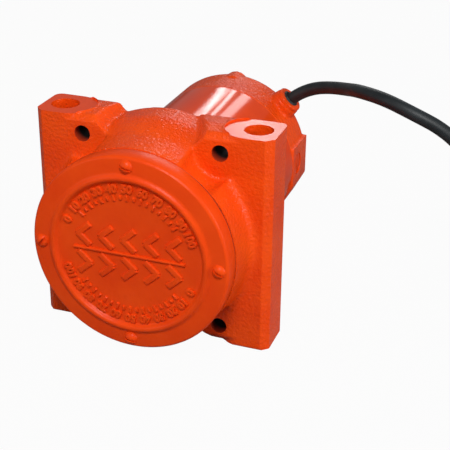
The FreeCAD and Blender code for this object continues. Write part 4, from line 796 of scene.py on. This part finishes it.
# Plug -------------------------------------------------------------------------------------
# Moulded three-pin plug for a 120 V outlet: a ribbed grip, a tapered neck that relieves the
# cord, two flat brass blades and a round earth pin.
PLUG_X, PLUG_Z, PLUG_START, PLUG_RADIUS = 195.3, 14.1, 184.0, 14.1
NECK_RADII, NECK_GROOVES, NECK_GROOVE = (5.7, 7.0), (3.0, 6.2, 9.4), 1.2
GRIP_START, GRIP_END, GRIP_GROOVES, GRIP_GROOVE = 14.0, 48.0, (20.5, 24.5, 28.5, 32.5), 1.6
PRONG_SEAT = 40.0
BLADE_X, BLADE_Z, BLADE_HALF, BLADE_THICK, BLADE_END = 6.35, 17.1, 3.175, 1.5, 65.5
PIN_Z, PIN_RADIUS, PIN_END = 5.2, 2.4, 68.5


def along_plug(y):
    return (PLUG_X, PLUG_START + y, PLUG_Z)


def blade_between(side, start, end):
    """One flat prong, or its slot, to the side of the plug's middle."""
    middle = PLUG_X + side * BLADE_X
    return block((middle - BLADE_THICK / 2, PLUG_START + start, BLADE_Z - BLADE_HALF),
                 (middle + BLADE_THICK / 2, PLUG_START + end, BLADE_Z + BLADE_HALF))


def pin_between(start, end, name="cutter"):
    return rod(PIN_RADIUS, (PLUG_X, PLUG_START + start, PIN_Z), (PLUG_X, PLUG_START + end, PIN_Z),
               name=name, sides=32)


plug = rod(NECK_RADII[0], along_plug(0), along_plug(GRIP_START + 0.3), tip=NECK_RADII[1],
           name="plug_moulded", sides=64)
grip = rod(PLUG_RADIUS, along_plug(GRIP_START), along_plug(GRIP_END), sides=64)
bevel(grip, 2.5, 5, lambda x, y, z: not GRIP_START + 0.01 < y - PLUG_START < GRIP_END - 0.01)
for groove in GRIP_GROOVES:
    ring = rod(PLUG_RADIUS + 2, along_plug(groove), along_plug(groove + GRIP_GROOVE))
    cut(ring, [rod(PLUG_RADIUS - 0.9, along_plug(groove - 1), along_plug(groove + 3))])
    cut(grip, [ring])
join(plug, [grip])
for groove in NECK_GROOVES:
    ring = rod(12, along_plug(groove), along_plug(groove + NECK_GROOVE))
    cut(ring, [rod(5.6, along_plug(groove - 1), along_plug(groove + 3))])
    cut(plug, [ring])
cut(plug, [blade_between(side, PRONG_SEAT, GRIP_END + 2) for side in (-1, 1)])
cut(plug, [pin_between(PRONG_SEAT, GRIP_END + 2)])

moulding, shader = finish_of("black_plastic", Roughness=0.42, IOR=1.5)
place = add(moulding, "ShaderNodeTexCoord").outputs["Object"]
mottle = add(moulding, "ShaderNodeTexNoise", {"Scale": 1 / (1.2 * MM), "Detail": 3.0}, Vector=place)
shade = add(moulding, "ShaderNodeValToRGB", {"stops": ((0.0, "#171717"), (1.0, "#232322"))}, Fac=mottle)
bump = add(moulding, "ShaderNodeBump", {"Strength": 0.25, "Distance": 0.05 * MM}, Height=mottle)
feed(moulding, shader, Base_Color=shade, Normal=bump)
finish_piece(plug, "frame", [moulding], ["plug_body"])

blades = []
for side in (-1, 1):
    blade = blade_between(side, PRONG_SEAT, BLADE_END)
    bevel(blade, 0.5, 2, lambda x, y, z: y > PLUG_START + BLADE_END - 0.1)
    x, y = PLUG_X + side * BLADE_X, PLUG_START + BLADE_END - 4.5
    cut(blade, [rod(1.6, (x - 3, y, BLADE_Z), (x + 3, y, BLADE_Z), sides=24)])
    blades.append(blade)
blades = gather(blades, "plug_flat_blades")
brass, shader = finish_of("polished_brass", Metallic=1.0, Roughness=0.25)
place = add(brass, "ShaderNodeTexCoord").outputs["Object"]
tarnish = add(brass, "ShaderNodeTexNoise", {"Scale": 1 / (2.5 * MM), "Detail": 3.0}, Vector=place)
shade = add(brass, "ShaderNodeValToRGB", {"stops": ((0.0, "#b8914a"), (1.0, "#d9b672"))}, Fac=tarnish)
bump = add(brass, "ShaderNodeBump", {"Strength": 0.1, "Distance": 0.03 * MM}, Height=tarnish)
feed(brass, shader, Base_Color=shade, Normal=bump)
finish_piece(blades, "frame", [brass], ["plug_blades"])
pin = pin_between(PRONG_SEAT, PIN_END, "plug_round_pin")
bevel(pin, 1.1, 4, lambda x, y, z: y > PLUG_START + PIN_END - 0.1)
finish_piece(pin, "frame", [brass], ["plug_earth_pin"])


# Inner works ------------------------------------------------------------------------------
# Bearings, rotor, windings and brush gear, closed in by the castings. They keep their solids
# and take their real surfaces: ground or turned steel, laminations, varnished copper, carbon.
def metal(name, dark, pale, roughness, grain, relief):
    """A metal with a fine mottle and its machining or rolling marks in the same grain."""
    material, shader = finish_of(name, Metallic=1.0, Roughness=roughness)
    place = add(material, "ShaderNodeTexCoord").outputs["Object"]
    marks = add(material, "ShaderNodeTexNoise", {"Scale": 1 / (grain * MM), "Detail": 3.0}, Vector=place)
    shade = add(material, "ShaderNodeValToRGB", {"stops": ((0.0, dark), (1.0, pale))}, Fac=marks)
    bump = add(material, "ShaderNodeBump", {"Strength": 0.15, "Distance": relief * MM}, Height=marks)
    feed(material, shader, Base_Color=shade, Normal=bump)
    return material


steel = metal("turned_steel", "#8f9194", "#b0b2b4", 0.35, 1.2, 0.03)
bearing_steel = metal("ground_steel", "#b4b7ba", "#cfd1d3", 0.12, 2.0, 0.01)
copper = metal("varnished_copper", "#8a4a2a", "#b8693c", 0.3, 0.8, 0.08)
laminations = metal("punched_steel", "#5d5f62", "#7d7f82", 0.45, 0.5, 0.05)
carbon = metal("pressed_carbon", "#2a2a2b", "#3a3a3c", 0.55, 0.6, 0.03)
phenolic, shader = finish_of("brown_phenolic", Roughness=0.4, IOR=1.55)
place = add(phenolic, "ShaderNodeTexCoord").outputs["Object"]
fleck = add(phenolic, "ShaderNodeTexNoise", {"Scale": 1 / (1.0 * MM), "Detail": 3.0}, Vector=place)
shade = add(phenolic, "ShaderNodeValToRGB", {"stops": ((0.0, "#2c1a10"), (1.0, "#452a18"))}, Fac=fleck)
bump = add(phenolic, "ShaderNodeBump", {"Strength": 0.15, "Distance": 0.04 * MM}, Height=fleck)
feed(phenolic, shader, Base_Color=shade, Normal=bump)

INNER = (
    (steel, ("bearing_retainer", "front_bearing_cage", "rear_bearing_cage", "rotor_shaft", "weight_key",
             "eccentric_weight", "spacer_sleeve", "wave_washer", "right_brush_spring", "left_brush_spring")),
    (zinc, ("retainer_screws", "weight_washer", "weight_bolt")),
    (bearing_steel, ("front_bearing_outer_race", "front_bearing_inner_race", "front_bearing_balls",
                     "rear_bearing_outer_race", "rear_bearing_inner_race", "rear_bearing_balls")),
    (copper, ("armature_winding", "commutator", "field_coils")),
    (laminations, ("armature_core", "stator_core")),
    (carbon, ("right_brush", "left_brush")),
    (phenolic, ("brush_holders",)),
    (rubber, ("shaft_seal",)),
)
for material, names in INNER:
    for name in names:
        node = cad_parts[name]
        node.data.materials.clear()
        node.data.materials.append(material)


# Floor, background and lamps --------------------------------------------------------------
# A plain floor and a plain surround, both white to the camera. The key lamp is small, above
# and to the right of the front; three strips behind the unit streak its glossy tube, and one
# lamp beside them whitens the right-hand pad.
TUBE_TOP, MIDDLE = (0, 0.06, 0.13), (0, 0, 0.08)
SHADOW_SHARE, GLOSSY_SHARE = 0.04, 0.1


def studio_lamp(name, place, target, width, tall, power, roll=0):
    clear()
    aim = Vector(target) - Vector(place)
    look = aim.to_track_quat("-Z", "Y").to_matrix() @ Matrix.Rotation(math.radians(roll), 3, "Z")
    bpy.ops.object.light_add(type="AREA", location=place, rotation=look.to_euler())
    lamp = bpy.context.object
    lamp.name = name
    lamp.data.shape = "RECTANGLE"
    lamp.data.size, lamp.data.size_y = width, tall
    lamp.data.energy = power


studio_lamp("key_lamp", (0.28, -0.68, 0.90), (0, 0, 0.10), 0.30, 0.30, 8.5)
studio_lamp("right_lamp", (1.3, -0.05, 0.45), MIDDLE, 0.6, 0.6, 8.0)
studio_lamp("fill_lamp", (-1.2, -1.2, 0.7), MIDDLE, 1.0, 1.0, 4.2)
studio_lamp("streak_lamp_a", (-0.30, 1.1, 0.56), TUBE_TOP, 0.034, 0.24, 0.26, roll=30)
studio_lamp("streak_lamp_b", (-0.16, 1.1, 0.62), TUBE_TOP, 0.045, 0.24, 0.32, roll=20)
studio_lamp("streak_lamp_c", (0.02, 1.1, 0.66), TUBE_TOP, 0.14, 0.24, 0.6)
studio_lamp("pad_lamp", (-0.30, 1.12, 0.605), (0.06, 0, 0.15), 0.16, 0.07, 0.17)

clear()
bpy.ops.mesh.primitive_plane_add(size=8, location=(0, 0, -0.0005))
floor = bpy.context.object
floor.name = "floor"
plain, shader = finish_of("pale_floor", Roughness=0.7, IOR=1.4)
shader.inputs["Base Color"].default_value = linear("#8c8c8c")
# White to the camera but for a share that keeps the shadow
rays = add(plain, "ShaderNodeLightPath")
share = add(plain, "ShaderNodeMath", {"operation": "MULTIPLY", 1: 1 - SHADOW_SHARE},
            i0=rays.outputs["Is Camera Ray"])
white = add(plain, "ShaderNodeEmission", {"Strength": 1.0})
shown = add(plain, "ShaderNodeMixShader", Fac=share, i1=shader, i2=white)
feed(plain, plain.node_tree.nodes["Material Output"], Surface=shown)
floor.data.materials.append(plain)

world = bpy.data.worlds.new("white_surround")
world.use_nodes = True
bpy.context.scene.world = world
soft = world.node_tree.nodes["Background"]
soft.inputs["Color"].default_value = (1, 1, 1, 1)
soft.inputs["Strength"].default_value = 0.15
white = add(world, "ShaderNodeBackground", {"Color": (1, 1, 1, 1), "Strength": 1.0})
rays = add(world, "ShaderNodeLightPath")
# All of the white reaches the camera and what shines through; a small share reaches reflections,
# as the whole of it lies like milk on the enamel at grazing angles
seen = add(world, "ShaderNodeMath", {"operation": "MAXIMUM"}, i0=rays.outputs["Is Camera Ray"],
           i1=rays.outputs["Is Transmission Ray"])
shine = add(world, "ShaderNodeMath", {"operation": "MULTIPLY_ADD", 1: GLOSSY_SHARE},
            i0=rays.outputs["Is Glossy Ray"], i2=seen)
blend = add(world, "ShaderNodeMixShader", Fac=shine, i1=soft, i2=white)
feed(world, world.node_tree.nodes["World Output"], Surface=blend)

bpy.context.scene.view_settings.view_transform = "Standard"
